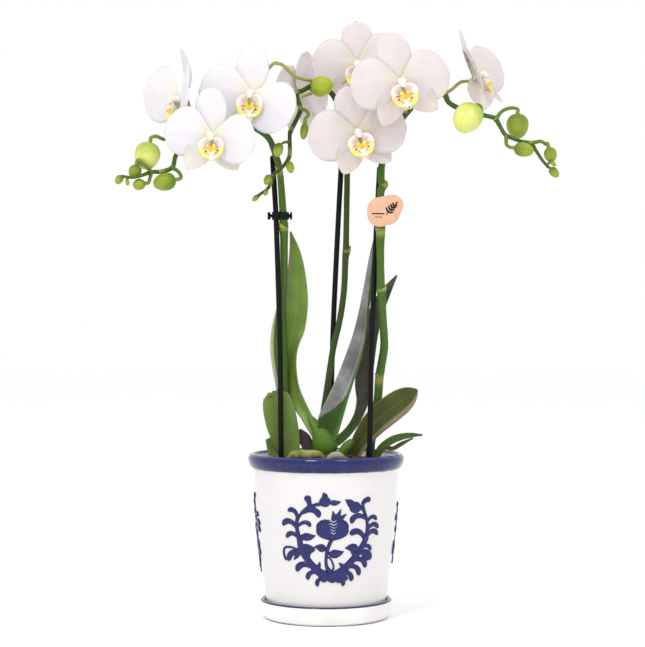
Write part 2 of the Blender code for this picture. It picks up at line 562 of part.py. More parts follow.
def lobe_edge(angle, lobe_angle, length, width):
    """Distance from the middle to the edge of an oval lobe that starts at the middle."""
    turn = radians(angle - lobe_angle)
    if cos(turn) <= 0.02:
        return 0
    half_length, half_width = length / 2, width / 2
    across, along = half_length * sin(turn), half_width * cos(turn)
    return 2 * half_length * half_width ** 2 * cos(turn) / (along ** 2 + across ** 2)


def whorl(bm, lobes, size, level, spokes):
    """A sheet with one lobe for each (angle, length, width), round a small hub."""
    shares = (0.5, 1.0)
    middle = bm.verts.new((0, 0, level))
    rings = []
    for share in shares:
        ring = []
        for index in range(spokes):
            angle = 360 * index / spokes + 90
            edge = max([HUB_RADIUS] + [size * lobe_edge(angle, *lobe) for lobe in lobes]) * share
            spot = (edge * cos(radians(angle)), edge * sin(radians(angle)), level - REFLEX * edge ** 2)
            ring.append(bm.verts.new(spot))
        rings.append(ring)
    for index in range(spokes):
        after = (index + 1) % spokes
        bm.faces.new((middle, rings[0][index], rings[0][after]))
        bm.faces.new((rings[0][index], rings[1][index], rings[1][after], rings[0][after]))


def lip_shape(bm, size):
    bmesh.ops.create_uvsphere(bm, u_segments=10, v_segments=6, radius=0.5)
    centre = Vector((0, -LIP_DROP, BLADE / 2 + LIP_DEPTH / 2)) * size
    for vert in bm.verts:
        narrow = 1 - LIP_TAPER * max(0, -vert.co.y)
        shape = Vector((vert.co.x * LIP_WIDTH * narrow, vert.co.y * LIP_HEIGHT, vert.co.z * LIP_DEPTH))
        vert.co = centre + shape * size


def facing(turn, tilt, roll):
    """Turns a flower's own axes so that its face looks where the angles say."""
    stand = Matrix.Rotation(radians(90), 3, "X")
    return (Matrix.Rotation(radians(turn), 3, "Z") @ Matrix.Rotation(radians(-tilt), 3, "X")
            @ Matrix.Rotation(radians(roll), 3, "Y") @ stand)


def make_flowers(build, spikes):
    sepals = [(90, DORSAL_LENGTH, DORSAL_WIDTH), (LATERAL_ANGLE, LATERAL_LENGTH, LATERAL_WIDTH),
              (180 - LATERAL_ANGLE, LATERAL_LENGTH, LATERAL_WIDTH)]
    petals = [(PETAL_ANGLE, PETAL_LENGTH, PETAL_WIDTH), (180 - PETAL_ANGLE, PETAL_LENGTH, PETAL_WIDTH)]
    for name, (junction, turn, tilt, roll, size, spike, stalk) in FLOWERS.items():
        axes = facing(turn, tilt, roll)
        for part, lobes, level, spokes in (("sepals", sepals, -WHORL_GAP, SEPAL_SPOKES),
                                           ("petals", petals, 0, PETAL_SPOKES)):
            mesh = mesh_from(whorl, lobes, size, level, spokes)
            sheet = build.add(f"{name}_{part}", mesh, "petal_white", on_plant=True)
            wall = sheet.modifiers.new("thickness", "SOLIDIFY")
            wall.thickness = BLADE * MM
            wall.offset = 0
            place(sheet, junction, axes)
        lip = build.add(f"{name}_lip", mesh_from(lip_shape, size), "lip_gold", on_plant=True)
        place(lip, junction, axes)
        out = axes @ Vector((0, 0, 1))
        behind = Vector(junction) - out * (WHORL_GAP + BLADE / 2 + FIT)
        add_stalk(build, spikes[spike], name, stalk, behind, out)


def place(piece, spot, axes):
    piece.location = metres(spot)
    piece.rotation_euler = axes.to_euler()


# ------------------------------------------------------------------ leaves, crown and roots

def leaf_sheet(bm, stations, fold):
    """A strap with a crease along its middle, through stations from its base to its tip."""
    rows = []
    for index, (across, deep, up, width, turn) in enumerate(stations):
        before, after = stations[max(index - 1, 0)], stations[min(index + 1, len(stations) - 1)]
        along = (Vector(after[:3]) - Vector(before[:3])).normalized()
        face = Matrix.Rotation(radians(turn), 3, "Z") @ Vector((0, -1, 0))
        side = along.cross(face).normalized()
        face = side.cross(along).normalized()
        centre = Vector((across, deep, up))
        row = []
        for share in (-1, -0.5, 0, 0.5, 1):
            rise = fold * (abs(share) - 0.5) * min(1, width / 10)
            row.append(bm.verts.new(centre + side * width / 2 * share + face * rise))
        rows.append(row)
    for low, high in zip(rows, rows[1:]):
        for index in range(4):
            bm.faces.new((low[index], low[index + 1], high[index + 1], high[index]))


def make_leaves(build):
    for name, (stations, fold) in LEAVES.items():
        leaf = build.add(name, mesh_from(leaf_sheet, stations, fold), "leaf_green", on_plant=True)
        wall = leaf.modifiers.new("thickness", "SOLIDIFY")
        wall.thickness = LEAF_THICKNESS * MM
        wall.offset = 0


def make_crown_and_roots(build):
    tube(build, "plant_crown", CROWN, "leaf_green", 12)
    tube(build, "shoot_stub", STUB, "leaf_green", SPIKE_SIDES)
    for name, run in ROOTS.items():
        tube(build, name, run, "root_green", SPIKE_SIDES)


# ------------------------------------------------------------------ clip and label

def post(centre, radius, height, sides):
    """An upright round bar round a centre, as points of a tube."""
    low, high = centre - Vector((0, 0, height / 2)), centre + Vector((0, 0, height / 2))
    return [(*low, radius), (*high, radius)]


def make_clip(build):
    stem = at_height(SPIKES["flower_spike_left"], CLIP_LEVEL)
    rod = at_height([(*point, STAKE_RADIUS) for point in STAKES["stake_left"]], CLIP_LEVEL)
    stem_at, rod_at = Vector(stem[:3]), Vector(rod[:3])
    stem_hole, rod_hole = stem[3] + FIT + CLIP_SLACK, STAKE_RADIUS + FIT + CLIP_SLACK
    clip = tube(build, "stem_clip", post(rod_at, rod_hole + CLIP_WALL, CLIP_HEIGHT, 12), "stake_black", 12)
    ring = tube(build, "clip_ring", post(stem_at, stem_hole + CLIP_WALL, CLIP_HEIGHT, 12), None, 12)
    combine(clip, ring, "UNION")
    for name, centre, reach in (("clip_tab_left", rod_at, -rod_hole - CLIP_TAB_LEFT),
                                ("clip_tab_right", stem_at, stem_hole + CLIP_TAB_RIGHT)):
        tab = build.tool(name, mesh_from(tab_shape, reach), on_plant=True)
        tab.location = metres(centre)
        combine(clip, tab, "UNION")
    for name, centre, radius in (("clip_rod_hole", rod_at, rod_hole),
                                 ("clip_stem_hole", stem_at, stem_hole)):
        combine(clip, tube(build, name, post(centre, radius, CLIP_HEIGHT + 2, 12), None, 12), "DIFFERENCE")


def tab_shape(bm, reach):
    """A thumb tab from the ring's middle out to a side; the ring's hole trims its inner end."""
    bmesh.ops.create_cube(bm, size=1)
    for vert in bm.verts:
        vert.co = Vector(((vert.co.x + 0.5) * reach, vert.co.y * CLIP_TAB_DEPTH,
                          vert.co.z * CLIP_HEIGHT * CLIP_TAB_SHARE))


def rounded_outline(corners, count):
    """The outline of a band stretched round circles (across, up, radius)."""
    points = []
    for index in range(count):
        heading = Vector((cos(2 * pi * index / count), sin(2 * pi * index / count)))
        reach = [Vector(corner[:2]).dot(heading) + corner[2] for corner in corners]
        corner = corners[reach.index(max(reach))]
        points.append(Vector(corner[:2]) + heading * corner[2])
    return points


def make_label(build):
    stem = at_height(SPIKES["flower_spike_right"], LABEL_LEVEL)
    curve = bpy.data.curves.new("label", "CURVE")
    curve.dimensions = "2D"
    curve.fill_mode = "BOTH"
    curve.extrude = LABEL_THICKNESS / 2 * MM
    outline = rounded_outline(LABEL_CORNERS, 30)
    spline = curve.splines.new("POLY")
    spline.use_cyclic_u = True
    spline.points.add(len(outline) - 1)
    for point, (across, up) in zip(spline.points, outline):
        point.co = (across * MM, up * MM, 0, 1)
    label = build.add("plant_label", curve, "paper_tan", on_plant=True)
    deep = stem[1] - stem[3] - FIT - LABEL_THICKNESS / 2 - LABEL_GAP
    label.location = metres((stem[0] + LABEL_ASIDE, deep, LABEL_LEVEL))
    label.rotation_euler = (radians(90), 0, 0)


def main():
    clear_scene()
    build = Build()
    make_saucer(build)
    make_pot(build)
    make_grow_pot(build)
    make_bark(build)
    make_stakes(build)
    spikes = {name: make_spike(build, name) for name in SPIKES}
    make_buds(build, spikes)
    make_flowers(build, spikes)
    make_leaves(build)
    make_crown_and_roots(build)
    make_clip(build)
    make_label(build)


main()
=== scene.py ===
"""Looks of the potted moth orchid: glazed pot with raised scrollwork, saucer, bark, stakes, leaves, spikes,
buds and flowers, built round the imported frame.

Tables are in millimetres. Plant tables are measured from the middle of the pot's rim, whose height comes
from the frame. A flower's own axes are x across, y up and z out of its face.
"""

import logging
import random
from dataclasses import dataclass, field, replace
from enum import Enum
from math import cos, exp, pi, radians, sin
from typing import Callable, Iterable, Sequence

import bmesh
import bpy
from mathutils import Matrix, Vector, noise


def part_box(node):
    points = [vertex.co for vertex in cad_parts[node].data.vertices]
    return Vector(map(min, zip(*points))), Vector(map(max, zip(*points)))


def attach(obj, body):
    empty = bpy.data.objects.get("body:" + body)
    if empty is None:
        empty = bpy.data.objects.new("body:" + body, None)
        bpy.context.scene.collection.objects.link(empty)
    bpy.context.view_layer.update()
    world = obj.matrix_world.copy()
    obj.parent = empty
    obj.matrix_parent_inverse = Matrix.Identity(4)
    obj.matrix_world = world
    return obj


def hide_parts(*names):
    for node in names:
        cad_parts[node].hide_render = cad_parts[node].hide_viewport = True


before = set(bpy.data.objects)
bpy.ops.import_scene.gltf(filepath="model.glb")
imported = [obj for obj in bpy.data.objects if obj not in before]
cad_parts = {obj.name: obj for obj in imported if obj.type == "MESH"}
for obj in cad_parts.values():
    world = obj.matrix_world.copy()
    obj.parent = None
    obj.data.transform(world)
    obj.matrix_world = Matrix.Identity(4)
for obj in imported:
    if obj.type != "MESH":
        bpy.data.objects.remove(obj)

MM = 0.001
BODY = "root"
NO_BAND = 1.0  # metres above the floor, higher than any glazed piece
FLOWER_COUNT = 8
STRIP = "strip"  # point attribute: across -1..1, along 0..1, tint
LOG = logging.getLogger("orchid")

Colour = tuple[float, float, float]
Row = Sequence[float]


# ------------------------------------------------------------------ shader building

class Value:
    """A shader socket that takes part in Python arithmetic by adding Math nodes."""

    def __init__(self, shader: "Shader", socket: bpy.types.NodeSocket) -> None:
        """Wraps one output socket of a shader."""
        self.shader = shader
        self.socket = socket

    def _math(self, operation: str, first: "Value | float", second: "Value | float") -> "Value":
        """Adds one Math node for two values."""
        return self.shader.node("ShaderNodeMath", {"operation": operation}, {0: first, 1: second})

    def __add__(self, other: "Value | float") -> "Value":
        """Sum."""
        return self._math("ADD", self, other)

    def __sub__(self, other: "Value | float") -> "Value":
        """Difference."""
        return self._math("SUBTRACT", self, other)

    def __rsub__(self, other: float) -> "Value":
        """Difference from a number."""
        return self._math("SUBTRACT", other, self)

    def __mul__(self, other: "Value | float") -> "Value":
        """Product."""
        return self._math("MULTIPLY", self, other)

    def __truediv__(self, other: "Value | float") -> "Value":
        """Quotient."""
        return self._math("DIVIDE", self, other)

    def __pow__(self, other: "Value | float") -> "Value":
        """Power."""
        return self._math("POWER", self, other)

    __radd__ = __add__
    __rmul__ = __mul__

    def sine(self) -> "Value":
        """Sine of the value."""
        return self._math("SINE", self, 0.0)

    def size(self) -> "Value":
        """The value without its sign."""
        return self._math("ABSOLUTE", self, 0.0)

    def ease(self, low: float, high: float) -> "Value":
        """A smooth 0 to 1 as the value goes from low to high, or 1 to 0 if high is the lower.

        Args:
            low: the value that gives 0.
            high: the value that gives 1.

        Returns:
            The eased value.
        """
        start, end, first, last = (low, high, 0.0, 1.0) if low < high else (high, low, 1.0, 0.0)
        return self.shader.node("ShaderNodeMapRange", {"interpolation_type": "SMOOTHSTEP"},
                                {"Value": self, "From Min": start, "From Max": end, "To Min": first,
                                 "To Max": last})


class Shader:
    """One Principled material and the nodes that feed it."""

    def __init__(self, name: str, roughness: float, **constants: float | tuple) -> None:
        """Starts a material.

        Args:
            name: the material's name.
            roughness: its base roughness.
            constants: other Principled sockets, with underscores for spaces, set to one value.
        """
        self.material = bpy.data.materials.new(name)
        self.material.use_nodes = True
        self.tree = self.material.node_tree
        self.principled = self.tree.nodes["Principled BSDF"]
        self.principled.inputs["Roughness"].default_value = roughness
        for key, value in constants.items():
            self.principled.inputs[key.replace("_", " ")].default_value = value

    def node(self, kind: str, settings: dict | None = None, inputs: dict | None = None,
             output: int | str = 0) -> Value:
        """Adds any node.

        Args:
            kind: the node's type.
            settings: attributes set before its sockets are read; a ramp's stops come as "stops".
            inputs: its sockets by name or number, as Values or constants.
            output: the output that is wanted.

        Returns:
            That output.
        """
        made = self.tree.nodes.new(kind)
        for key, value in (settings or {}).items():
            if key == "stops":
                ramp = made.color_ramp.elements
                while len(ramp) < len(value):
                    ramp.new(0.5)
                for stop, (place, colour) in zip(ramp, value):
                    stop.position = place
                    stop.color = (*colour, 1)
            else:
                setattr(made, key, value)
        for key, value in (inputs or {}).items():
            if isinstance(value, Value):
                self.tree.links.new(value.socket, made.inputs[key])
            else:
                made.inputs[key].default_value = value
        return Value(self, made.outputs[output])

    def place(self, scale: tuple[float, float, float] = (1, 1, 1)) -> Value:
        """Object coordinates in metres, stretched by a scale."""
        spot = self.node("ShaderNodeTexCoord", output="Object")
        return self.node("ShaderNodeMapping", None, {"Vector": spot, "Scale": scale})

    def axes(self, vector: Value) -> tuple[Value, Value, Value]:
        """The three parts of a vector."""
        split = self.node("ShaderNodeSeparateXYZ", None, {0: vector})
        outputs = split.socket.node.outputs
        return Value(self, outputs[0]), Value(self, outputs[1]), Value(self, outputs[2])

    def strip(self) -> tuple[Value, Value, Value]:
        """The piece's own across, along and tint values."""
        return self.axes(self.node("ShaderNodeAttribute", {"attribute_name": STRIP}, None, "Vector"))

    def noise(self, scale: float, detail: float = 3.0, vector: Value | None = None) -> Value:
        """Fractal noise, 0 to 1, on Object coordinates unless a vector is given."""
        return self.node("ShaderNodeTexNoise", None, {"Vector": vector or self.place(), "Scale": scale,
                                                       "Detail": detail})

    def mix(self, factor: Value | float, first: "Value | Colour", second: "Value | Colour") -> Value:
        """Two colours mixed by a factor."""
        ends = [c if isinstance(c, Value) else (*c, 1) for c in (first, second)]
        return self.node("ShaderNodeMix", {"data_type": "RGBA"}, {0: factor, 6: ends[0], 7: ends[1]}, 2)

    def paint(self, colour: Value | None = None, roughness: Value | None = None,
              coat: Value | None = None) -> "Shader":
        """Links what varies over the surface to the Principled shader."""
        for key, value in (("Base Color", colour), ("Roughness", roughness), ("Coat Weight", coat)):
            if value is not None:
                self.tree.links.new(value.socket, self.principled.inputs[key])
        return self

    def bump(self, height: Value, distance: float, strength: float = 1.0) -> "Shader":
        """Gives the surface a bump from a height, whose full scale is a distance in millimetres."""
        normal = self.node("ShaderNodeBump", None,
                           {"Height": height, "Distance": distance * MM, "Strength": strength},
                           "Normal")
        self.tree.links.new(normal.socket, self.principled.inputs["Normal"])
        return self


_made: dict[object, bpy.types.Material] = {}


class Finish:
    """A finish that makes its material once, however many pieces wear it."""

    def material(self) -> bpy.types.Material:
        """The finish's material."""
        if self not in _made:
            _made[self] = self.make().material
        return _made[self]

    def make(self) -> Shader:
        """Builds the shader; each finish has its own."""
        raise NotImplementedError


@dataclass(frozen=True)
class PotGlaze(Finish):
    """Thick glossy white glaze with a cobalt band above one height and a thin line at another."""

    name: str
    band_from: float  # metres above the floor
    line_at: float
    white: Colour = (0.735, 0.712, 0.705)
    cobalt: Colour = (0.006, 0.008, 0.085)
    thin_cobalt: Colour = (0.034, 0.044, 0.215)

    def make(self) -> Shader:
        """White glaze, pooled unevenly, and cobalt that thins to a paler blue on the edges."""
        shader = Shader(self.name, 0.16, Coat_Weight=0.25, Coat_Roughness=0.03, Specular_IOR_Level=0.32)
        across, deep, up = shader.axes(shader.place())
        wander = (shader.noise(160.0) - 0.5) * 0.0011
        radius = (across * across + deep * deep) ** 0.5
        cloud = shader.noise(38.0, 4.0)
        white = shader.mix(cloud.ease(0.35, 0.75) * 0.5, self.white, (0.680, 0.652, 0.645))
        white = shader.mix(shader.noise(2600.0, 1.0).ease(0.74, 0.80) * 0.35, white, (0.42, 0.38, 0.34))
        worn = shader.noise(240.0, 4.0).ease(0.45, 0.8)
        blue = shader.mix(worn * 0.35, self.cobalt, self.thin_cobalt)
        height = up + wander
        band = height.ease(self.band_from, self.band_from + 0.0006)
        inner = radius.ease(0.0496, 0.0500)
        line = (up + wander * 0.25 - self.line_at).size().ease(0.0009, 0.0005)
        factor = shader.node("ShaderNodeMath", {"operation": "MAXIMUM"}, {0: band * inner, 1: line})
        edge = (up - (self.band_from + 0.0098)).size().ease(0.0012, 0.0002) * 0.35
        colour = shader.mix(edge, blue, self.thin_cobalt)
        shader.paint(shader.mix(factor, white, colour), 0.05 + cloud * 0.10)
        return shader.bump(shader.noise(55.0, 2.0) + shader.noise(420.0, 2.0) * 0.08, 0.30, 0.30)


@dataclass(frozen=True)
class CobaltGlaze(Finish):
    """Glossy raised cobalt slip, darker where it lies thick."""

    deep: Colour = (0.006, 0.007, 0.078)
    pale: Colour = (0.016, 0.020, 0.150)

    def make(self) -> Shader:
        """Deep blue with paler crests and a brushed surface."""
        shader = Shader("cobalt_slip", 0.2, Coat_Weight=0.2, Coat_Roughness=0.05, Specular_IOR_Level=0.3)
        _, _, crest = shader.strip()
        mottle = shader.noise(520.0, 4.0)
        colour = shader.mix(crest.ease(0.55, 1.0) * 0.45 + mottle * 0.3, self.deep, self.pale)
        shader.paint(colour, 0.14 + mottle * 0.2)
        return shader.bump(mottle + shader.noise(1500.0) * 0.25, 0.25, 0.5)


@dataclass(frozen=True)
class Petal(Finish):
    """Soft white petal with fine veins, creamy at its base and cool towards its edge."""

    name: str
    white: Colour
    base: Colour
    back: Colour

    def make(self) -> Shader:
        """White blade whose veins fan out from the base."""
        shader = Shader(self.name, 0.48, Subsurface_Weight=0.22, Subsurface_Radius=(0.006, 0.005, 0.0045),
                        Subsurface_Scale=0.5, Sheen_Weight=0.12, Sheen_Roughness=0.4, Specular_IOR_Level=0.35)
        across, along, side = shader.strip()
        grain = shader.noise(75.0, 4.0)
        veins = (across * 44.0 + grain * 9.0 + along * 2.0).sine()
        blade = shader.mix(grain.ease(0.30, 0.70) * 0.75, self.white, self.back)
        blade = shader.mix(veins.ease(0.4, 1.0) * 0.16, blade, self.back)
        blade = shader.mix(across.size().ease(0.16, 0.0) * along.ease(1.0, 0.2) * 0.30, blade, self.back)
        blade = shader.mix(side.ease(0.1, -0.1) * 0.6, blade, self.back)
        colour = shader.mix(along.ease(0.42, 0.04) * 0.8, blade, self.base)
        shader.paint(colour, 0.42 + grain * 0.16)
        return shader.bump(veins * 0.10 + shader.noise(1400.0) * 0.04 + grain * 1.4, 0.35, 0.28)


class LipPart(Enum):
    """The parts of a flower's lip, each with its own markings."""

    WING = "wing"
    TONGUE = "tongue"
    CALLUS = "callus"
    COLUMN = "column"


@dataclass(frozen=True)
class LipFinish(Finish):
    """White, gold and magenta markings of one part of the lip."""

    part: LipPart
    white: Colour = (0.88, 0.84, 0.82)
    gold: Colour = (0.86, 0.54, 0.035)
    yellow: Colour = (0.93, 0.76, 0.16)
    magenta: Colour = (0.48, 0.10, 0.22)

    def make(self) -> Shader:
        """Markings along and across the part's own strip, and painted shade deep in the wings' cup."""
        shader = Shader("lip_" + self.part.value, 0.42, Subsurface_Weight=0.18,
                        Subsurface_Radius=(0.004, 0.003, 0.002), Subsurface_Scale=0.4, Coat_Weight=0.08)
        across, along, _ = shader.strip()
        grain = shader.noise(260.0, 4.0)
        blots = shader.noise(620.0, 2.0)
        if self.part is LipPart.WING:
            # painted shade: each wing turns tan towards its inner base, the hollow of the cup under the
            # column
            colour = shader.mix(across.ease(-0.35, -0.85), self.white, (0.70, 0.56, 0.34))
            inside = (across + (grain - 0.5) * 0.9).ease(0.0, 0.45)
            rim = inside * (along + (grain - 0.5) * 0.25).ease(0.62, 0.46)
            colour = shader.mix(rim * (along + blots * 0.1).ease(0.05, 0.16), colour, self.yellow)
            stripes = (along * 36.0 + grain * 4.0).sine().ease(-0.2, 0.4)
            stripes = stripes * across.ease(-0.75, -0.4) * across.ease(0.35, -0.05)
            colour = shader.mix(stripes * along.ease(0.16, 0.24) * along.ease(0.60, 0.46) * 0.95, colour,
                                self.magenta)
        elif self.part is LipPart.TONGUE:
            colour = shader.mix((along + (grain - 0.5) * 0.35).ease(0.60, 0.25), self.white, self.gold)
            sides = across.size().ease(0.4, 0.75) * along.ease(0.66, 0.3)
            colour = shader.mix(sides * 0.9, colour, self.yellow)
            colour = shader.mix(blots.ease(0.60, 0.66) * along.ease(0.45, 0.1) * 0.75, colour, self.magenta)
        elif self.part is LipPart.CALLUS:
            colour = shader.mix(grain.ease(0.3, 0.7), self.yellow, self.gold)
            colour = shader.mix(blots.ease(0.60, 0.66) * 0.8, colour, (0.50, 0.12, 0.05))
        else:
            colour = shader.mix(along.ease(0.30, 0.75) * 0.75, self.white, (0.88, 0.68, 0.56))
        shader.paint(colour, 0.36 + grain * 0.16)
        return shader.bump(grain + blots * 0.4, 0.25, 0.4)


@dataclass(frozen=True)
class LeafFinish(Finish):
    """Waxy strap leaf with a midrib, and perhaps a coloured strip along one side and a fleshy foot."""

    name: str
    blade: Colour
    shade: Colour
    rib: Colour
    margin: Colour
    gloss: float = 0.34
    strip: Colour | None = None  # colour of the strip along one side
    strip_from: float = 0.8  # where across the leaf it starts; below zero it is on the other side
    foot: Colour | None = None
    foot_share: float = 0.2
    foot_slant: float = 0.10
    foot_soft: float = 0.5  # how soon it fades, as a share of its length
    rib_at: float = 0.0
    rib_share: float = 0.35

    def make(self) -> Shader:
        """Veins along the strip, mottling and a paler midrib."""
        shader = Shader(self.name, self.gloss, Coat_Weight=0.04, Coat_Roughness=0.25, Specular_IOR_Level=0.22)
        across, along, _ = shader.strip()
        cloud = shader.noise(70.0, 5.0)
        fine = shader.noise(1.0, 3.0,
                            shader.node("ShaderNodeCombineXYZ", None, {0: across * 38.0, 1: along * 5.0}))
        colour = shader.mix(cloud.ease(0.3, 0.7), self.blade, self.shade)
        colour = shader.mix(fine.ease(0.45, 0.75) * 0.45, colour, self.shade)
        middle = across + (cloud - 0.5) * 0.04
        colour = shader.mix((middle - self.rib_at).size().ease(0.10, 0.02) * self.rib_share, colour, self.rib)
        if self.foot:
            height = along + across * self.foot_slant + (cloud - 0.5) * 0.04
            foot = height.ease(self.foot_share, self.foot_share * self.foot_soft)
            colour = shader.mix(foot, colour, self.foot)
        if self.strip:
            side = 1.0 if self.strip_from > 0 else -1.0
            spot = across * side + (cloud - 0.5) * 0.10
            colour = shader.mix(spot.ease(abs(self.strip_from) - 0.05, abs(self.strip_from) + 0.10), colour,
                                self.strip)
        colour = shader.mix(across.size().ease(0.92, 0.99) * 0.7, colour, self.margin)
        colour = shader.mix(shader.noise(900.0, 2.0).ease(0.68, 0.76) * 0.35, colour, self.margin)
        shader.paint(colour, self.gloss - 0.05 + cloud * 0.16)
        return shader.bump(fine * 0.6 + shader.noise(500.0) * 0.25 + across.size().ease(0.12, 0.0) * -0.8,
                           0.3, 0.5)


@dataclass(frozen=True)
class StemFinish(Finish):
    """Green stem that yellows at its nodes and browns a little where it is old."""

    name: str
    green: Colour
    pale: Colour
    brown: Colour = (0.09, 0.075, 0.025)

    def make(self) -> Shader:
        """Green by default, pale where the tint is high."""
        shader = Shader(self.name, 0.36, Coat_Weight=0.03, Coat_Roughness=0.3, Specular_IOR_Level=0.22)
        _, _, tint = shader.strip()
        cloud = shader.noise(120.0, 5.0)
        streaks = shader.noise(1.0, 4.0, shader.place((2600, 2600, 140)))
        colour = shader.mix(streaks.ease(0.35, 0.7) * 0.45, self.green, [c * 0.55 for c in self.green])
        colour = shader.mix(cloud.ease(0.60, 0.80) * 0.25, colour, self.brown)
        colour = shader.mix(tint.ease(0.15, 1.0), colour, self.pale)
        shader.paint(colour, 0.30 + cloud * 0.18)
        return shader.bump(streaks + cloud * 0.5, 0.22, 0.5)


@dataclass(frozen=True)
class BudFinish(Finish):
    """Plump bud, greener at its stalk and paler at its tip, with a darker seam between its scales."""

    name: str
    green: Colour
    pale: Colour

    def make(self) -> Shader:
        """Green to pale along the bud; the tint holds the seams."""
        shader = Shader(self.name, 0.38, Coat_Weight=0.05, Coat_Roughness=0.25, Specular_IOR_Level=0.25,
                        Subsurface_Weight=0.08,
                        Subsurface_Radius=(0.003, 0.004, 0.001), Subsurface_Scale=0.4)
        _, along, seam = shader.strip()
        cloud = shader.noise(180.0, 5.0)
        flecks = shader.noise(1900.0, 2.0)
        colour = shader.mix((along + (cloud - 0.5) * 0.5).ease(0.05, 0.75), self.green, self.pale)
        colour = shader.mix(seam.ease(0.2, 1.0) * 0.14, colour, [c * 0.6 for c in self.green])
        colour = shader.mix(flecks.ease(0.62, 0.72) * 0.18, colour, self.pale)
        shader.paint(colour, 0.32 + cloud * 0.2)
        return shader.bump(cloud + flecks * 0.3, 0.25, 0.4)


@dataclass(frozen=True)
class BarkFinish(Finish):
    """Torn bark: red-brown, with dark patches, paler fibres and dusty flecks."""

    def make(self) -> Shader:
        """Layers of fibre and dust."""
        shader = Shader("bark", 0.85, Specular_IOR_Level=0.3)
        fibres = shader.noise(1.0, 6.0, shader.place((420, 1500, 900)))
        cloud = shader.noise(95.0, 4.0)
        colour = shader.mix(cloud.ease(0.35, 0.65), (0.055, 0.020, 0.012), (0.21, 0.075, 0.035))
        colour = shader.mix(fibres.ease(0.5, 0.75) * 0.7, colour, (0.34, 0.17, 0.09))
        colour = shader.mix(shader.noise(700.0, 2.0).ease(0.68, 0.76) * 0.5, colour, (0.42, 0.36, 0.28))
        shader.paint(colour, 0.72 + fibres * 0.25)
        return shader.bump(fibres + cloud, 0.8, 0.8)


@dataclass(frozen=True)
class RootFinish(Finish):
    """Spongy root skin, paler where it is dry and greener where it is damp."""

    name: str
    dry: Colour
    damp: Colour

    def make(self) -> Shader:
        """Dry and damp patches with fine pits."""
        shader = Shader(self.name, 0.7, Specular_IOR_Level=0.35)
        cloud = shader.noise(130.0, 5.0)
        pits = shader.noise(1500.0, 3.0)
        colour = shader.mix(cloud.ease(0.42, 0.62), self.dry, self.damp)
        colour = shader.mix(pits.ease(0.55, 0.75) * 0.45, colour, (0.30, 0.24, 0.13))
        shader.paint(colour, 0.6 + pits * 0.25)
        return shader.bump(pits * 0.6 + cloud, 0.5, 0.7)


@dataclass(frozen=True)
class PlasticFinish(Finish):
    """Moulded plastic with faint drawing lines and scuffs."""

    name: str
    colour: Colour
    scuff: Colour
    roughness: float = 0.34
    alpha: float = 1.0

    def make(self) -> Shader:
        """Drawn lines along its height, with worn patches."""
        shader = Shader(self.name, self.roughness, Alpha=self.alpha, Specular_IOR_Level=0.16)
        lines = shader.noise(1.0, 3.0, shader.place((3000, 3000, 60)))
        worn = shader.noise(210.0, 5.0)
        shader.paint(shader.mix(worn.ease(0.5, 0.8) * 0.5, self.colour, self.scuff),
                     self.roughness - 0.06 + worn * 0.2)
        return shader.bump(lines + worn * 0.4, 0.12, 0.5)


@dataclass(frozen=True)
class CardFinish(Finish):
    """Uncoated tan card with short fibres."""

    name: str = "label_card"
    colour: Colour = (0.70, 0.40, 0.255)
    fibre: Colour = (0.78, 0.52, 0.37)

    def make(self) -> Shader:
        """Fibres and a soft mottle."""
        shader = Shader(self.name, 0.8, Specular_IOR_Level=0.3)
        fibres = shader.noise(1.0, 5.0, shader.place((900, 900, 4200)))
        mottle = shader.noise(260.0, 4.0)
        colour = shader.mix(fibres.ease(0.4, 0.75) * 0.6, self.colour, self.fibre)
        shader.paint(shader.mix(mottle.ease(0.4, 0.7) * 0.25, colour, [c * 0.8 for c in self.colour]),
                     0.7 + mottle * 0.2)
        return shader.bump(fibres + mottle * 0.5, 0.10, 0.6)


GREEN_STEM = StemFinish("stem_green", (0.060, 0.128, 0.013), (0.24, 0.26, 0.050))
DARK_STEM = StemFinish("stem_dark", (0.038, 0.068, 0.009), (0.20, 0.21, 0.050))
LIME_STEM = StemFinish("stalk_lime", (0.105, 0.195, 0.016), (0.30, 0.34, 0.050))
OLIVE_STEM = StemFinish("stalk_olive", (0.315, 0.300, 0.070), (0.56, 0.46, 0.17))
LIGHT_LEAF = LeafFinish("leaf_light", (0.155, 0.255, 0.040), (0.105, 0.185, 0.024), (0.24, 0.34, 0.08),
                        (0.30, 0.34, 0.17),
                        strip=(0.21, 0.17, 0.16), strip_from=-0.78, foot=(0.17, 0.29, 0.040), foot_share=0.35,
                        rib_share=0.2)
MID_LEAF = LeafFinish("leaf_mid", (0.155, 0.245, 0.050), (0.110, 0.185, 0.030), (0.22, 0.30, 0.08),
                      (0.24, 0.28, 0.12))
PALE_EDGE_LEAF = LeafFinish("leaf_pale_edge", (0.100, 0.190, 0.022), (0.070, 0.140, 0.014),
                            (0.19, 0.28, 0.06),
                            (0.50, 0.52, 0.36), strip=(0.46, 0.48, 0.30), strip_from=-0.55)
DARK_LEAF = LeafFinish("leaf_dark", (0.055, 0.110, 0.018), (0.032, 0.070, 0.010), (0.13, 0.21, 0.05),
                       (0.13, 0.20, 0.05))
# grey blade: the leaf's own grey underside with a painted sheen of the white light on its wax; dark green
# foot (0.026, 0.066, 0.006): the foot's own green with painted shade at the leaf's base
GREY_SHEEN_UNDER = LeafFinish("leaf_grey_under", (0.265, 0.260, 0.262), (0.120, 0.117, 0.118), (0.36, 0.35, 0.37),
                        (0.17, 0.26, 0.09), 0.42, (0.040, 0.135, 0.010), 0.66, (0.026, 0.066, 0.006), 0.31,
                        -0.11, 0.88, 0.40, 0.7)
SHADED_UNDER = LeafFinish("leaf_shaded_under", (0.105, 0.095, 0.070), (0.060, 0.052, 0.040),
                          (0.14, 0.13, 0.10),
                          (0.13, 0.20, 0.06), 0.42, (0.050, 0.115, 0.018), 0.72, (0.070, 0.135, 0.020), 0.42)
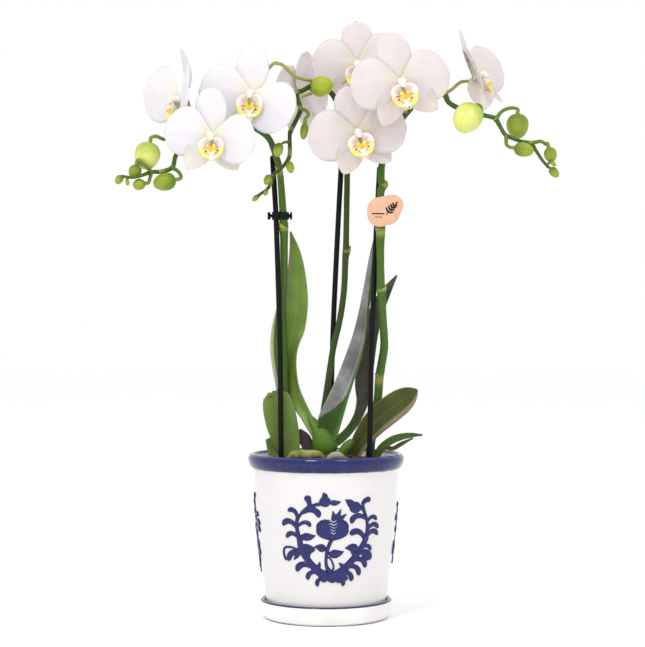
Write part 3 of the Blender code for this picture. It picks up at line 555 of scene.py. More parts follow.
OLIVE_UNDER = LeafFinish("leaf_olive_under", (0.075, 0.092, 0.015), (0.045, 0.058, 0.009), (0.12, 0.14, 0.04),
                         (0.26, 0.21, 0.12), 0.40, (0.23, 0.175, 0.105), 0.62)
PURPLE_UNDER = LeafFinish("leaf_purple_under", (0.085, 0.066, 0.068), (0.048, 0.036, 0.036),
                          (0.11, 0.085, 0.085),
                          (0.09, 0.08, 0.045), 0.42)
COOL_PETAL = Petal("petal_cool", (0.745, 0.730, 0.765), (0.72, 0.69, 0.52), (0.660, 0.630, 0.665))
WARM_PETAL = Petal("petal_warm", (0.700, 0.652, 0.655), (0.66, 0.60, 0.46), (0.605, 0.535, 0.525))
COOL_SEPAL = Petal("sepal_cool", (0.700, 0.680, 0.640), (0.64, 0.63, 0.41), (0.640, 0.595, 0.530))
WARM_SEPAL = Petal("sepal_warm", (0.660, 0.605, 0.585), (0.62, 0.57, 0.41), (0.580, 0.510, 0.475))
BLACK_PLASTIC = PlasticFinish("black_plastic", (0.003, 0.0025, 0.0025), (0.010, 0.009, 0.009), 0.42)
CLEAR_PLASTIC = PlasticFinish("clear_plastic", (0.50, 0.52, 0.50), (0.62, 0.64, 0.62), 0.3, 0.55)


# ------------------------------------------------------------------ mesh building

def smooth_rows(rows: Sequence[Row], per_span: int) -> list[tuple[float, ...]]:
    """Rows of numbers read from a smooth curve through the given rows.

    Args:
        rows: the rows to pass through.
        per_span: how many rows to make for each span between two of them.

    Returns:
        The smooth rows, with the given ones among them.
    """
    made = []
    last = len(rows) - 1
    for index in range(last):
        a, b, c, d = (rows[min(max(index + shift, 0), last)] for shift in (-1, 0, 1, 2))
        for step in range(per_span):
            t = step / per_span
            made.append(tuple(
                0.5 * (2 * q + (r - p) * t + (2 * p - 5 * q + 4 * r - s) * t * t
                       + (3 * q - p - 3 * r + s) * t ** 3)
                for p, q, r, s in zip(a, b, c, d)))
    made.append(tuple(rows[-1]))
    return made


def frames_along(points: Sequence[Vector]) -> list[tuple[Vector, Vector]]:
    """Two directions across a path at each of its points, turned as little as possible."""
    across = Vector((1, 0, 0))
    made = []
    for index in range(len(points)):
        ahead = (points[min(index + 1, len(points) - 1)] - points[max(index - 1, 0)]).normalized()
        if abs(ahead.dot(across)) > 0.98:
            across = Vector((0, 1, 0))
        across = (across - ahead * across.dot(ahead)).normalized()
        made.append((across, ahead.cross(across)))
    return made


class Skin:
    """Gathers closed lofts of points in millimetres and turns them into one mesh object."""

    def __init__(self) -> None:
        """Starts empty."""
        self.points: list[Vector] = []
        self.faces: list[tuple[int, ...]] = []
        self.finish_of: list[int] = []
        self.strips: list[tuple[float, float, float]] = []

    def loft(self, rings: Sequence[Sequence[Vector]], strips: Sequence[Sequence[tuple[float, float, float]]],
             finish: Callable[[int, int], int] | int = 0, caps: bool = True) -> None:
        """Joins closed rings of equal length, and closes both ends.

        Args:
            rings: the rings, from the start to the end.
            strips: the strip value of each point.
            finish: the number of a face's material, or a function of its row and column.
            caps: whether the ends are closed with a fan.
        """
        first, count = len(self.points), len(rings[0])
        for ring, values in zip(rings, strips):
            self.points.extend(ring)
            self.strips.extend(values)
        for row in range(len(rings) - 1):
            for column in range(count):
                a, b = first + row * count + column, first + row * count + (column + 1) % count
                self.faces.append((a, b, b + count, a + count))
                self.finish_of.append(finish(row, column) if callable(finish) else finish)
        if caps:
            for row, turn in ((0, -1), (len(rings) - 1, 1)):
                middle = len(self.points)
                self.points.append(sum(rings[row], Vector()) / count)
                self.strips.append(strips[row][0])
                for column in range(count):
                    a, b = first + row * count + column, first + row * count + (column + 1) % count
                    self.faces.append((a, b, middle) if turn > 0 else (b, a, middle))
                    self.finish_of.append(finish(row, column) if callable(finish) else finish)

    def tube(self, rows: Sequence[Row], sides: int = 14, tints: Sequence[float] | None = None,
             finish: int = 0,
             rough: float = 0.0) -> None:
        """A round tube through rows of (x, y, z, radius), with rounded ends.

        Args:
            rows: the path.
            sides: points round the tube.
            tints: the tint at each row.
            finish: the material's number.
            rough: how uneven the tube is, as a share of its radius.
        """
        points = [Vector(row[:3]) for row in rows]
        tints = list(tints or [0.0] * len(rows))
        rings, strips = [], []
        axes = frames_along(points)
        last = len(rows) - 1
        for index, (point, row, (right, up)) in enumerate(zip(points, rows, axes)):
            ring, values = [], []
            for side in range(sides):
                angle = 2 * pi * side / sides
                out = right * cos(angle) + up * sin(angle)
                wobble = 1 + rough * noise.noise((point + out * row[3]) * 0.35)
                ring.append(point + out * row[3] * wobble)
                values.append((cos(angle), index / last, tints[index]))
            rings.append(ring)
            strips.append(values)
        for end, step in ((0, 1), (last, -1)):
            ahead = (points[end] - points[end + step]).normalized() * rows[end][3]
            centre = points[end]
            domes = [[centre + (p - centre) * 0.72 + ahead * 0.55 for p in rings[end if end == 0 else -1]]]
            domes.append([centre + (p - centre) * 0.32 + ahead * 0.85
                          for p in rings[end if end == 0 else -1]])
            values = [strips[end if end == 0 else -1]] * 2
            if end == 0:
                rings[:0], strips[:0] = domes[::-1], values
            else:
                rings.extend(domes)
                strips.extend(values)
        self.loft(rings, strips, finish)

    def sheet(self, rows: Sequence[Sequence[Vector]], thickness: float | Sequence[float],
              strips: Sequence[Sequence[tuple[float, float]]],
              front: int = 0, back: int = 0, edge: float = 0.35) -> None:
        """A thin closed blade from rows of points across it, thinner at its edges.

        Args:
            rows: rows of points, from base to tip.
            thickness: its thickness in the middle, for the whole blade or for each row.
            strips: across and along values of each point.
            front: the front's material number.
            back: the back's material number.
            edge: the edge's thickness as a share of the middle's.
        """
        count = len(rows[0])
        rings, values = [], []
        for index, row in enumerate(rows):
            before, after = rows[max(index - 1, 0)], rows[min(index + 1, len(rows) - 1)]
            front_side, back_side = [], []
            for column, point in enumerate(row):
                ahead = after[column] - before[column]
                across = row[min(column + 1, count - 1)] - row[max(column - 1, 0)]
                normal = across.cross(ahead)
                normal = normal.normalized() if normal.length > 1e-9 else Vector()
                share = abs(2 * column / (count - 1) - 1)
                full = thickness if isinstance(thickness, float) else thickness[index]
                half = full / 2 * (1 - (1 - edge) * share ** 4)
                front_side.append(point + normal * half)
                back_side.append(point - normal * half)
            rings.append(front_side + back_side[::-1])
            u = strips[index]
            values.append([(*s, 1.0) for s in u] + [(*s, -1.0) for s in u[::-1]])
        self.loft(rings, values,
                  lambda row, column: front if column < count - 1 or column == 2 * count - 1 else back)

    def build(self, name: str, finishes: Sequence[Finish], slot: str,
              nodes: Iterable[str] = ()) -> bpy.types.Object:
        """Args:
            name: the piece's name.
            finishes: its finishes, by material number.
            slot: not used.
            nodes: the CAD nodes that it stands for.

        Returns:
            The finished object.
        """
        mesh = bpy.data.meshes.new(name)
        mesh.from_pydata([p * MM for p in self.points], [], self.faces)
        mesh.polygons.foreach_set("material_index", self.finish_of)
        strip = mesh.attributes.new(STRIP, "FLOAT_VECTOR", "POINT")
        strip.data.foreach_set("vector", [number for values in self.strips for number in values])
        return finished(name, mesh, finishes, nodes)


def finished(name: str, mesh: bpy.types.Mesh, finishes: Sequence[Finish],
             nodes: Iterable[str] = ()) -> bpy.types.Object:
    """Args:
        name: the piece's name.
        mesh: its mesh, in metres.
        finishes: its finishes, by material number.
        nodes: the CAD nodes that it stands for.

    Returns:
        The finished object.
    """
    bm = bmesh.new()
    bm.from_mesh(mesh)
    bmesh.ops.remove_doubles(bm, verts=bm.verts, dist=1e-6)
    bmesh.ops.dissolve_degenerate(bm, edges=bm.edges, dist=1e-7)
    bmesh.ops.recalc_face_normals(bm, faces=bm.faces)
    bm.to_mesh(mesh)
    bm.free()
    mesh.shade_smooth()
    numbers = [face.material_index for face in mesh.polygons]
    mesh.materials.clear()
    for finish in finishes:
        mesh.materials.append(finish.material())
    mesh.polygons.foreach_set("material_index", numbers)
    piece = bpy.data.objects.new(name, mesh)
    bpy.context.scene.collection.objects.link(piece)
    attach(piece, BODY)
    names = list(nodes)
    if names:
        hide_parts(*names)
    LOG.info("%s: %d faces", name, len(mesh.polygons))
    return piece


def lathe(profile: Sequence[tuple[float, float]], steps: int) -> Skin:
    """A closed profile of (radius, height) turned round the upright axis.

    Args:
        profile: the points of the profile, which doesn't cross the axis; it may start and end on it.
        steps: points round the turn.

    Returns:
        The skin.
    """
    skin = Skin()
    rings, strips = [], []
    for index, (radius, height) in enumerate(profile):
        angles = [2 * pi * step / steps for step in range(steps)]
        rings.append([Vector((radius * cos(a), radius * sin(a), height)) for a in angles])
        strips.append([(0.0, index / len(profile), 0.0)] * steps)
    if profile[0][0] > 0:
        rings.append(rings[0])
        strips.append(strips[0])
        skin.loft(rings, strips, caps=False)
    else:
        skin.loft(rings, strips, caps=False)
    return skin


# ------------------------------------------------------------------ geometry nodes

class Grower:
    """A Geometry Nodes tree that sets copies of a shape on points, makes them real and dresses them."""

    def __init__(self, name: str, finish: Finish) -> None:
        """Starts a tree with a geometry in and out.

        Args:
            name: the tree's name.
            finish: what the result wears.
        """
        self.tree = bpy.data.node_groups.new(name, "GeometryNodeTree")
        self.finish = finish
        self.tree.interface.new_socket("Geometry", in_out="INPUT", socket_type="NodeSocketGeometry")
        self.tree.interface.new_socket("Geometry", in_out="OUTPUT", socket_type="NodeSocketGeometry")
        self.inside = self.tree.nodes.new("NodeGroupInput")
        self.values: dict[str, object] = {}

    def size(self, name: str, kind: str, value: object) -> bpy.types.NodeSocket:
        """A named input of the tree, with the value that the modifier gives it.

        Args:
            name: the input's name.
            kind: its socket type.
            value: its value.

        Returns:
            The socket inside the tree.
        """
        socket = self.tree.interface.new_socket(name, in_out="INPUT", socket_type=kind)
        self.values[socket.identifier] = value
        return self.inside.outputs[name]

    def node(self, kind: str, settings: dict | None = None, inputs: dict | None = None) -> bpy.types.Node:
        """Adds a node with its settings, and links or sets its sockets."""
        made = self.tree.nodes.new(kind)
        for key, value in (settings or {}).items():
            setattr(made, key, value)
        for key, value in (inputs or {}).items():
            if isinstance(value, bpy.types.NodeSocket):
                self.tree.links.new(value, made.inputs[key])
            else:
                made.inputs[key].default_value = value
        return made

    def grow(self, instances: bpy.types.NodeSocket, host: bpy.types.Mesh) -> bpy.types.Mesh:
        """Runs the tree on a mesh.

        Args:
            instances: the socket that carries the copies.
            host: the mesh that the tree works on.

        Returns:
            A plain mesh of the result.
        """
        real = self.node("GeometryNodeRealizeInstances", None, {0: instances})
        dressed = self.node("GeometryNodeSetMaterial", None,
                            {0: real.outputs[0], "Material": self.finish.material()})
        end = self.tree.nodes.new("NodeGroupOutput")
        self.tree.links.new(dressed.outputs[0], end.inputs[0])
        carrier = bpy.data.objects.new(self.tree.name, host)
        bpy.context.scene.collection.objects.link(carrier)
        modifier = carrier.modifiers.new("grow", "NODES")
        modifier.node_group = self.tree
        for identifier, value in self.values.items():
            modifier[identifier] = value
        bpy.context.view_layer.update()
        seen = carrier.evaluated_get(bpy.context.evaluated_depsgraph_get())
        mesh = bpy.data.meshes.new_from_object(seen)
        carrier.modifiers.remove(modifier)
        bpy.data.objects.remove(carrier, do_unlink=True)
        return mesh


def stock(name: str, skin: Skin) -> bpy.types.Object:
    """A shape that a tree copies; it is removed once the copies are real."""
    mesh = bpy.data.meshes.new(name)
    mesh.from_pydata([p * MM for p in skin.points], [], skin.faces)
    strip = mesh.attributes.new(STRIP, "FLOAT_VECTOR", "POINT")
    strip.data.foreach_set("vector", [number for values in skin.strips for number in values])
    item = bpy.data.objects.new(name, mesh)
    bpy.context.scene.collection.objects.link(item)
    return item


# ------------------------------------------------------------------ pot, saucer and scrollwork

@dataclass
class Pottery:
    """The glazed pot and its saucer, turned from profiles that follow the frame's solids."""

    rim_height: float = 10.3
    rim_bead: float = 2.7
    rim_brow: float = 3.9  # how far below its top the rim is widest
    rim_taper: float = 3.6
    body: list[tuple[float, float]] = field(default_factory=lambda: [  # radius, height above the floor
        (50.9, 103.0), (50.6, 100.5), (50.2, 93), (49.7, 82), (49.0, 70), (47.5, 53), (45.4, 36), (43.4, 22),
        (41.9, 11.8), (41.2, 7), (40.9, 5.2), (39.9, 3.9)])
    floor_thickness: float = 5.6
    drain_radius: float = 5.0
    mouth_step: float = 5.1  # from the rim's edge in to its mouth
    saucer_top: float = 13.3
    saucer_line: float = 12.95  # height of the blue line on its lip
    saucer_bead: float = 1.55
    steps: int = 144

    def outside(self, height: float) -> float:
        """The pot's outer radius at a height above the floor."""
        for (top_radius, top), (low_radius, low) in zip(self.body, self.body[1:]):
            if top >= height >= low:
                return low_radius + (top_radius - low_radius) * (height - low) / (top - low)
        return self.body[0][0]

    def make_pot(self) -> None:
        """Turns the pot, with a rounded rim, a crease under it, and its inside down to the drain hole."""
        low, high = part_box("pot")
        rim, top = high.x / MM, high.z / MM
        bead, foot = self.rim_bead, top - self.rim_height
        middle = rim - bead
        brow, drop = self.rim_brow, self.rim_height - self.rim_brow
        profile = [(middle + bead * sin(a), top - brow + brow * cos(a))
                   for a in (radians(7.5 * i) for i in range(13))]
        profile += [(rim - self.rim_taper * (1 - cos(a)) ** 0.78, foot + drop - drop * sin(a))
                    for a in (radians(10 * i) for i in range(1, 10))]
        profile += [tuple(row) for row in smooth_rows(self.body, 4)]
        floor = low.z / MM + self.floor_thickness
        profile += [(30, 3.8), (5.4, 3.8), (self.drain_radius, 4.3), (self.drain_radius, floor - 0.4),
                    (5.4, floor), (32, floor), (35.5, floor + 1.4)]
        profile += [tuple(row) for row in smooth_rows([(36.6, floor + 4), (41.5, 50), (46.4, 98),
                                                       (48.6, 105.5)], 5)]
        inner = rim - self.mouth_step
        profile += [(inner, top - 4.5), (inner + 0.25, top - 2.4), (inner + 0.9, top - 1.0),
                    (inner + 1.5, top - 0.25)]
        glaze = PotGlaze("pot_glaze", (foot - 0.3) * MM, 0.0)
        lathe(profile, self.steps).build("glazed_pot", [glaze], "glaze_white", ["pot"])

    def make_saucer(self) -> None:
        """Turns the saucer, with a soft heel and a rounded lip."""
        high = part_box("saucer")[1]
        rim, top, bead = high.x / MM + 0.1, self.saucer_top, self.saucer_bead
        lip = [(rim - bead + bead * cos(a), top - bead + bead * sin(a))
               for a in (radians(180 - 15 * i) for i in range(13))]
        outer = smooth_rows([(rim + 0.05, 9.5), (rim - 0.02, 7.0), (rim - 0.6, 4.2), (rim - 2.1, 1.5),
                             (rim - 4.6, 0.15)], 4)
        inner = rim - 2 * bead
        profile = [(0, 3.5), (20, 3.5), (inner - 1.6, 3.5), (inner - 0.5, 3.9), (inner - 0.05, 5.0),
                   (inner, 8)]
        profile += lip + [tuple(row) for row in outer] + [(rim - 4.9, 0.0), (20, 0.0), (0, 0.0)]
        # painted light: the saucer's white is a lighter copy of the pot's glaze, making up for the light that
        # it gets less of
        glaze = PotGlaze("saucer_glaze", NO_BAND, self.saucer_line * MM, (0.835, 0.820, 0.815))
        lathe(profile, self.steps).build("glazed_saucer", [glaze], "glaze_white", ["saucer"])


@dataclass(frozen=True)
class Hook:
    """One comma leaf of the scrollwork: where it springs, where it heads, its length and its curl."""

    right: float
    up: float
    heading: float
    length: float
    curl: int = 1


@dataclass
class Scrollwork:
    """Raised folk scroll: a fruit between two leafy branches, three times round the pot."""

    pottery: Pottery
    middle_up: float = 58.6
    middles: tuple[float, ...] = (3.2, 118.2, -111.8)  # degrees from the front
    height: float = 0.95
    boldness: float = 1.22  # how much wider its strokes are than the drawing's
    branches: list[list[Row]] = field(default_factory=lambda: [  # right, up, width
        [(-1, -25.5, 5.4), (-8.4, -20.4, 4.6), (-14.4, -14, 3.8), (-19.4, -6.5, 4.2), (-21.4, 1, 3.2),
         (-23.0, 8, 2.4), (-22.6, 14, 1.9), (-19, 19.5, 1.8), (-14.4, 23.2, 2.2)],
        [(1, -25.5, 5.4), (9.0, -20, 4.8), (15.4, -13.6, 4.0), (21.0, -7, 3.8), (25.4, 0, 3.6),
         (27.0, 7, 2.6), (26.2, 14, 2.0), (24.2, 19.5, 2.2), (22.8, 24, 2.2)],
        [(-14.4, 23.2, 2.2), (-14.4, 26, 3.0), (-15.4, 28.4, 3.4)],
        [(-14.4, 23.0, 2.4), (-10, 24.4, 2.0), (-5, 25.6, 2.6)],
        [(24.2, 21, 2.2), (20.4, 21.6, 2.0), (16.4, 21.8, 2.6)],
        [(22.8, 24, 2.2), (24.8, 26.6, 3.0), (27, 27, 2.6)],
        [(0.4, -22, 3.6), (-2.4, -17, 2.0), (-2.6, -10, 1.8), (-1.2, -4, 2.2), (1.0, 1, 2.2)],
        [(0.6, -22, 1.6), (2.4, -18, 1.2), (0.6, -12.6, 1.1), (-2.6, -10.4, 1.2)],
        [(-22.6, -6.4, 1.6), (-27, -5.0, 1.3), (-32.2, -5.4, 1.5), (-33.4, -9.0, 1.6), (-31.4, -13.6, 1.5),
         (-28.6, -8.4, 1.3)],
    ])
    hooks: list[Hook] = field(default_factory=lambda: [
        Hook(-22.6, 14, 118, 10, 1), Hook(-23.0, 8.4, 150, 12, 1), Hook(-21.6, 1.6, 158, 10, 1),
        Hook(-18.2, -9, 184, 13, 1), Hook(-22, 10, 20, 9, -1), Hook(-20.8, -1.4, 38, 9, -1),
        Hook(-13.8, -15.4, 92, 11, -1), Hook(-19, 19, 8, 12.5, -1), Hook(-11, -18.6, 170, 13, 1),
        Hook(-7, -21.6, 190, 10, 1), Hook(-2.6, -25, 205, 8.6, 1), Hook(26.4, 12, 30, 9, -1),
        Hook(27, 7, 24, 10, -1), Hook(25.8, 1.4, 30, 11, -1), Hook(21.6, -6, 12, 9, -1),
        Hook(25.6, 14.6, 172, 12, 1), Hook(25.0, 0, 138, 12.5, 1), Hook(18.6, -10, 4, 12.5, -1),
        Hook(15.4, -13.8, -6, 12, -1), Hook(11.4, -17.8, -14, 11.5, -1), Hook(7, -21.4, -18, 10.5, -1),
        Hook(2.6, -25, -22, 9, -1), Hook(13.6, -15.6, 62, 9, 1),
    ])
    leaves: list[Row] = field(default_factory=lambda: [  # right, up, heading, length, width
        (-20.6, 3.4, -8, 11, 4.4), (-19.8, -3.0, -18, 9.5, 3.6), (-2.6, -6.6, 152, 8.6, 4.4),
        (-1.8, -8.4, -4, 11.5, 4.8), (20.4, -6.6, 162, 10.5, 4.8), (-1.0, 26.4, -8, 8.4, 3.0),
        (-3.6, 28.0, 96, 5.0, 3.4), (16.6, 21.8, 128, 9, 4.2), (23, -9, -42, 9, 4.4),
        (-20.4, -9, 214, 7, 2.4), (22.6, -3.6, 36, 8, 1.8), (-9, -19.6, 60, 6, 2.2),
        (9.6, -19.4, 122, 6, 2.2), (-24, 12, 66, 4.6, 2.0), (2.8, -24.6, 12, 10.5, 4.6),
    ])
    buds: list[Row] = field(default_factory=lambda: [  # right, up, radius
        (-15.4, 28.6, 2.5), (-3.6, 26.6, 4.0), (17.4, 22.4, 4.4), (27.2, 27.4, 2.2), (-4, -26.0, 2.6),
        (6.4, -26.0, 3.4), (1.6, -25.4, 3.8), (-4.6, -22.4, 3.0), (5.4, -22.2, 3.2), (10.4, -25.6, 2.2),
    ])
    crown: list[float] = field(default_factory=lambda: [108, 68, 34])

    def on_pot(self, right: float, up: float, rise: float, middle: float) -> Vector:
        """A point of the drawing laid on the pot.

        Args:
            right: millimetres to the right of the drawing's middle.
            up: millimetres above it.
            rise: height above the glaze.
            middle: the drawing's middle, in degrees from the front.

        Returns:
            The point, in millimetres.
        """
        height = self.middle_up + up
        radius = self.pottery.outside(height)
        angle = radians(middle - 90) + right / radius
        return Vector(((radius + rise) * cos(angle), (radius + rise) * sin(angle), height))

    def ridge(self, skin: Skin, rows: Sequence[Row]) -> None:
        """Lays one raised stroke flat in the drawing: x right, y up, z rise.

        Args:
            skin: where it goes.
            rows: its path, as (right, up, width).
        """
        rings, strips = [], []
        last = len(rows) - 1
        for index, row in enumerate(rows):
            before, after = rows[max(index - 1, 0)], rows[min(index + 1, last)]
            ahead = Vector((after[0] - before[0], after[1] - before[1], 0)).normalized()
            side = Vector((-ahead.y, ahead.x, 0))
            centre, half = Vector((row[0], row[1], 0)), max(row[2], 0.12) / 2
            lift = self.height * min(1.0, row[2] / 1.6)
            section = [(-1, -0.4), (-1, 0.05), (-0.8, 0.55), (-0.42, 0.9), (0, 1.0), (0.42, 0.9), (0.8, 0.55),
                       (1, 0.05), (1, -0.4)]
            rings.append([centre + side * half * x + Vector((0, 0, lift * z)) for x, z in section])
            strips.append([(x, index / last, max(z, 0)) for x, z in section])
        skin.loft(rings, strips)

    def comma(self) -> Skin:
        """One hooked leaf of length 1 that springs from the origin, heads along +x and curls up."""
        skin = Skin()
        rows, heading, spot = [], radians(-24), Vector((0, 0))
        steps = 12
        for index in range(steps + 1):
            share = index / steps
            width = (0.19 + 0.16 * share) * min(1.0, 4.5 * (1.04 - share)) ** 0.5
            rows.append((spot.x * 10, spot.y * 10, width * 10))
            heading += radians(135) / steps * (0.15 + 1.7 * share)
            spot = spot + Vector((cos(heading), sin(heading))) / steps
        self.ridge(skin, rows)
        return skin

    def hook_leaves(self) -> bpy.types.Mesh:
        """All hooked leaves of one drawing, set on points by a tree that reads each point's turn and size."""
        host = bpy.data.meshes.new("hook_points")
        host.from_pydata([(h.right * MM, h.up * MM, 0) for h in self.hooks], [], [])
        turns = host.attributes.new("turn", "FLOAT_VECTOR", "POINT")
        turns.data.foreach_set("vector", [v for h in self.hooks for v in (0.0, 0.0, radians(h.heading))])
        sizes = host.attributes.new("stretch", "FLOAT_VECTOR", "POINT")
        sizes.data.foreach_set("vector",
                               [v for h in self.hooks for v in (h.length / 10, h.curl * h.length / 10, 1.0)])
        shape = stock("comma_leaf", self.comma())
        grower = Grower("scroll_leaves", CobaltGlaze())
        leaf = grower.size("Leaf", "NodeSocketObject", shape)
        swell = grower.size("Swell", "NodeSocketFloat", self.boldness * 0.96)
        info = grower.node("GeometryNodeObjectInfo", None, {"Object": leaf})
        turn = grower.node("GeometryNodeInputNamedAttribute", {"data_type": "FLOAT_VECTOR"}, {"Name": "turn"})
        stretch = grower.node("GeometryNodeInputNamedAttribute", {"data_type": "FLOAT_VECTOR"},
                              {"Name": "stretch"})
        scaled = grower.node("ShaderNodeVectorMath", {"operation": "SCALE"},
                             {0: stretch.outputs[0], "Scale": swell})
        points = grower.node("GeometryNodeMeshToPoints", None, {"Mesh": grower.inside.outputs["Geometry"]})
        copies = grower.node("GeometryNodeInstanceOnPoints", None, {
            "Points": points.outputs[0], "Instance": info.outputs["Geometry"], "Rotation": turn.outputs[0],
            "Scale": scaled.outputs[0]})
        mesh = grower.grow(copies.outputs[0], host)
        bpy.data.objects.remove(shape, do_unlink=True)
        return mesh

    def pad(self, skin: Skin, outline: Sequence[tuple[float, float]], right: float, up: float,
            rise: float) -> None:
        """A raised pad with a rounded edge, from an outline round its middle.

        Args:
            skin: where it goes.
            outline: its points, from the middle.
            right: the middle's place to the right.
            up: the middle's height.
            rise: the pad's height as a share of the scroll's.
        """
        rings, strips = [], []
        for share, lift in ((1.0, -0.4), (1.0, 0.15), (0.93, 0.62), (0.80, 0.88), (0.5, 1.0), (0.2, 1.04)):
            rings.append([Vector((right + x * share, up + y * share, lift * rise * self.height))
                          for x, y in outline])
            strips.append([(0.0, share, max(lift, 0.0))] * len(outline))
        skin.loft(rings, strips)

    def fruit(self, skin: Skin) -> None:
        """The split fruit: two plump lobes under a three-pointed crown."""
        outline = []
        for step in range(48):
            angle = 2 * pi * step / 48
            lobes = 1 + 0.20 * abs(sin(angle)) * cos(angle) ** 2
            dent = 0.26 * exp(-((angle - pi / 2) / 0.34) ** 2)
            dent -= 0.10 * exp(-((angle - 3 * pi / 2) / 0.30) ** 2)
            outline.append((11.0 * cos(angle) * lobes, 7.4 * sin(angle) * lobes * (1 - dent)))
        self.pad(skin, outline, 1.6, 8.2, 1.2)
        for heading, length in zip(self.crown, (7.6, 9.0, 8.8)):
            way = Vector((cos(radians(heading)), sin(radians(heading)))) * length
            self.ridge(skin, smooth_rows([(3.0 + way.x * 0.1, 12.4, 5.0),
                                          (3.6 + way.x * 0.5, 12.8 + way.y * 0.5, 3.6),
                                          (4.0 + way.x, 13.4 + way.y, 0.4)], 4))

    def seeds(self) -> Skin:
        """Thin white seed lines across the fruit."""
        skin = Skin()
        for up, length in ((13.4, 4.4), (11.4, 5.6), (9.4, 6.0), (7.4, 5.6), (5.4, 4.4)):
            rows = [(1.8 + length * (t - 0.5), up + 0.55 * sin(t * 2.5 * pi),
                     0.5 * sin(pi * (0.12 + t * 0.76)))
                    for t in (i / 10 for i in range(11))]
            start = len(skin.points)
            self.ridge(skin, rows)
            for index in range(start, len(skin.points)):
                skin.points[index].z = skin.points[index].z * 0.35 + self.height * 1.16
        return skin

    def leaf(self, skin: Skin, right: float, up: float, heading: float, length: float, width: float) -> None:
        """A pointed leaf that springs from a branch."""
        way, bend = radians(heading), 0.35
        rows = []
        for step in range(9):
            t = step / 8
            turn = way + bend * (t - 0.5)
            rows.append((right + cos(turn) * length * t, up + sin(turn) * length * t,
                         width * sin(pi * t ** 0.8) ** 1.1 + 0.3))
        self.ridge(skin, rows)

    def wrap(self, mesh: bpy.types.Mesh, middle: float) -> bpy.types.Mesh:
        """A copy of a flat drawing laid on the pot round one middle."""
        laid = mesh.copy()
        for vertex in laid.vertices:
            right, up, rise = vertex.co / MM
            vertex.co = self.on_pot(right, up, rise, middle) * MM
        return laid

    def flat(self, skin: Skin) -> bpy.types.Mesh:
        """A skin as a flat mesh with its strip values."""
        item = stock("drawing", skin)
        mesh = item.data.copy()
        bpy.data.objects.remove(item, do_unlink=True)
        return mesh

    def make(self) -> None:
        """Makes the blue scrollwork and the white seeds as one piece each, three times round the pot."""
        skin = Skin()
        for branch in self.branches:
            self.ridge(skin, smooth_rows([(right, up, width * self.boldness) for right, up, width in branch],
                                         6))
        self.fruit(skin)
        for right, up, heading, length, width in self.leaves:
            self.leaf(skin, right, up, heading, length, width * self.boldness)
        for right, up, radius in self.buds:
            outline = [(radius * cos(a), radius * 0.9 * sin(a))
                       for a in (2 * pi * i / 20 for i in range(20))]
            self.pad(skin, outline, right, up, 1.15)
        drawings = [self.flat(skin), self.hook_leaves()]
        blue = merged([self.wrap(mesh, middle) for middle in self.middles for mesh in drawings])
        finished("pot_scrollwork", blue, [CobaltGlaze()])
        seeds = self.flat(self.seeds())
        white = merged([self.wrap(seeds, middle) for middle in self.middles])
        finished("fruit_seed_lines", white, [PotGlaze("seed_glaze", NO_BAND, NO_BAND)])


def merged(meshes: Sequence[bpy.types.Mesh]) -> bpy.types.Mesh:
    """Several meshes as one."""
    bm = bmesh.new()
    for mesh in meshes:
        bm.from_mesh(mesh)
    made = bpy.data.meshes.new("merged")
    bm.to_mesh(made)
    bm.free()
    for face in made.polygons:
        face.material_index = 0
    return made


# ------------------------------------------------------------------ what stands in the pot

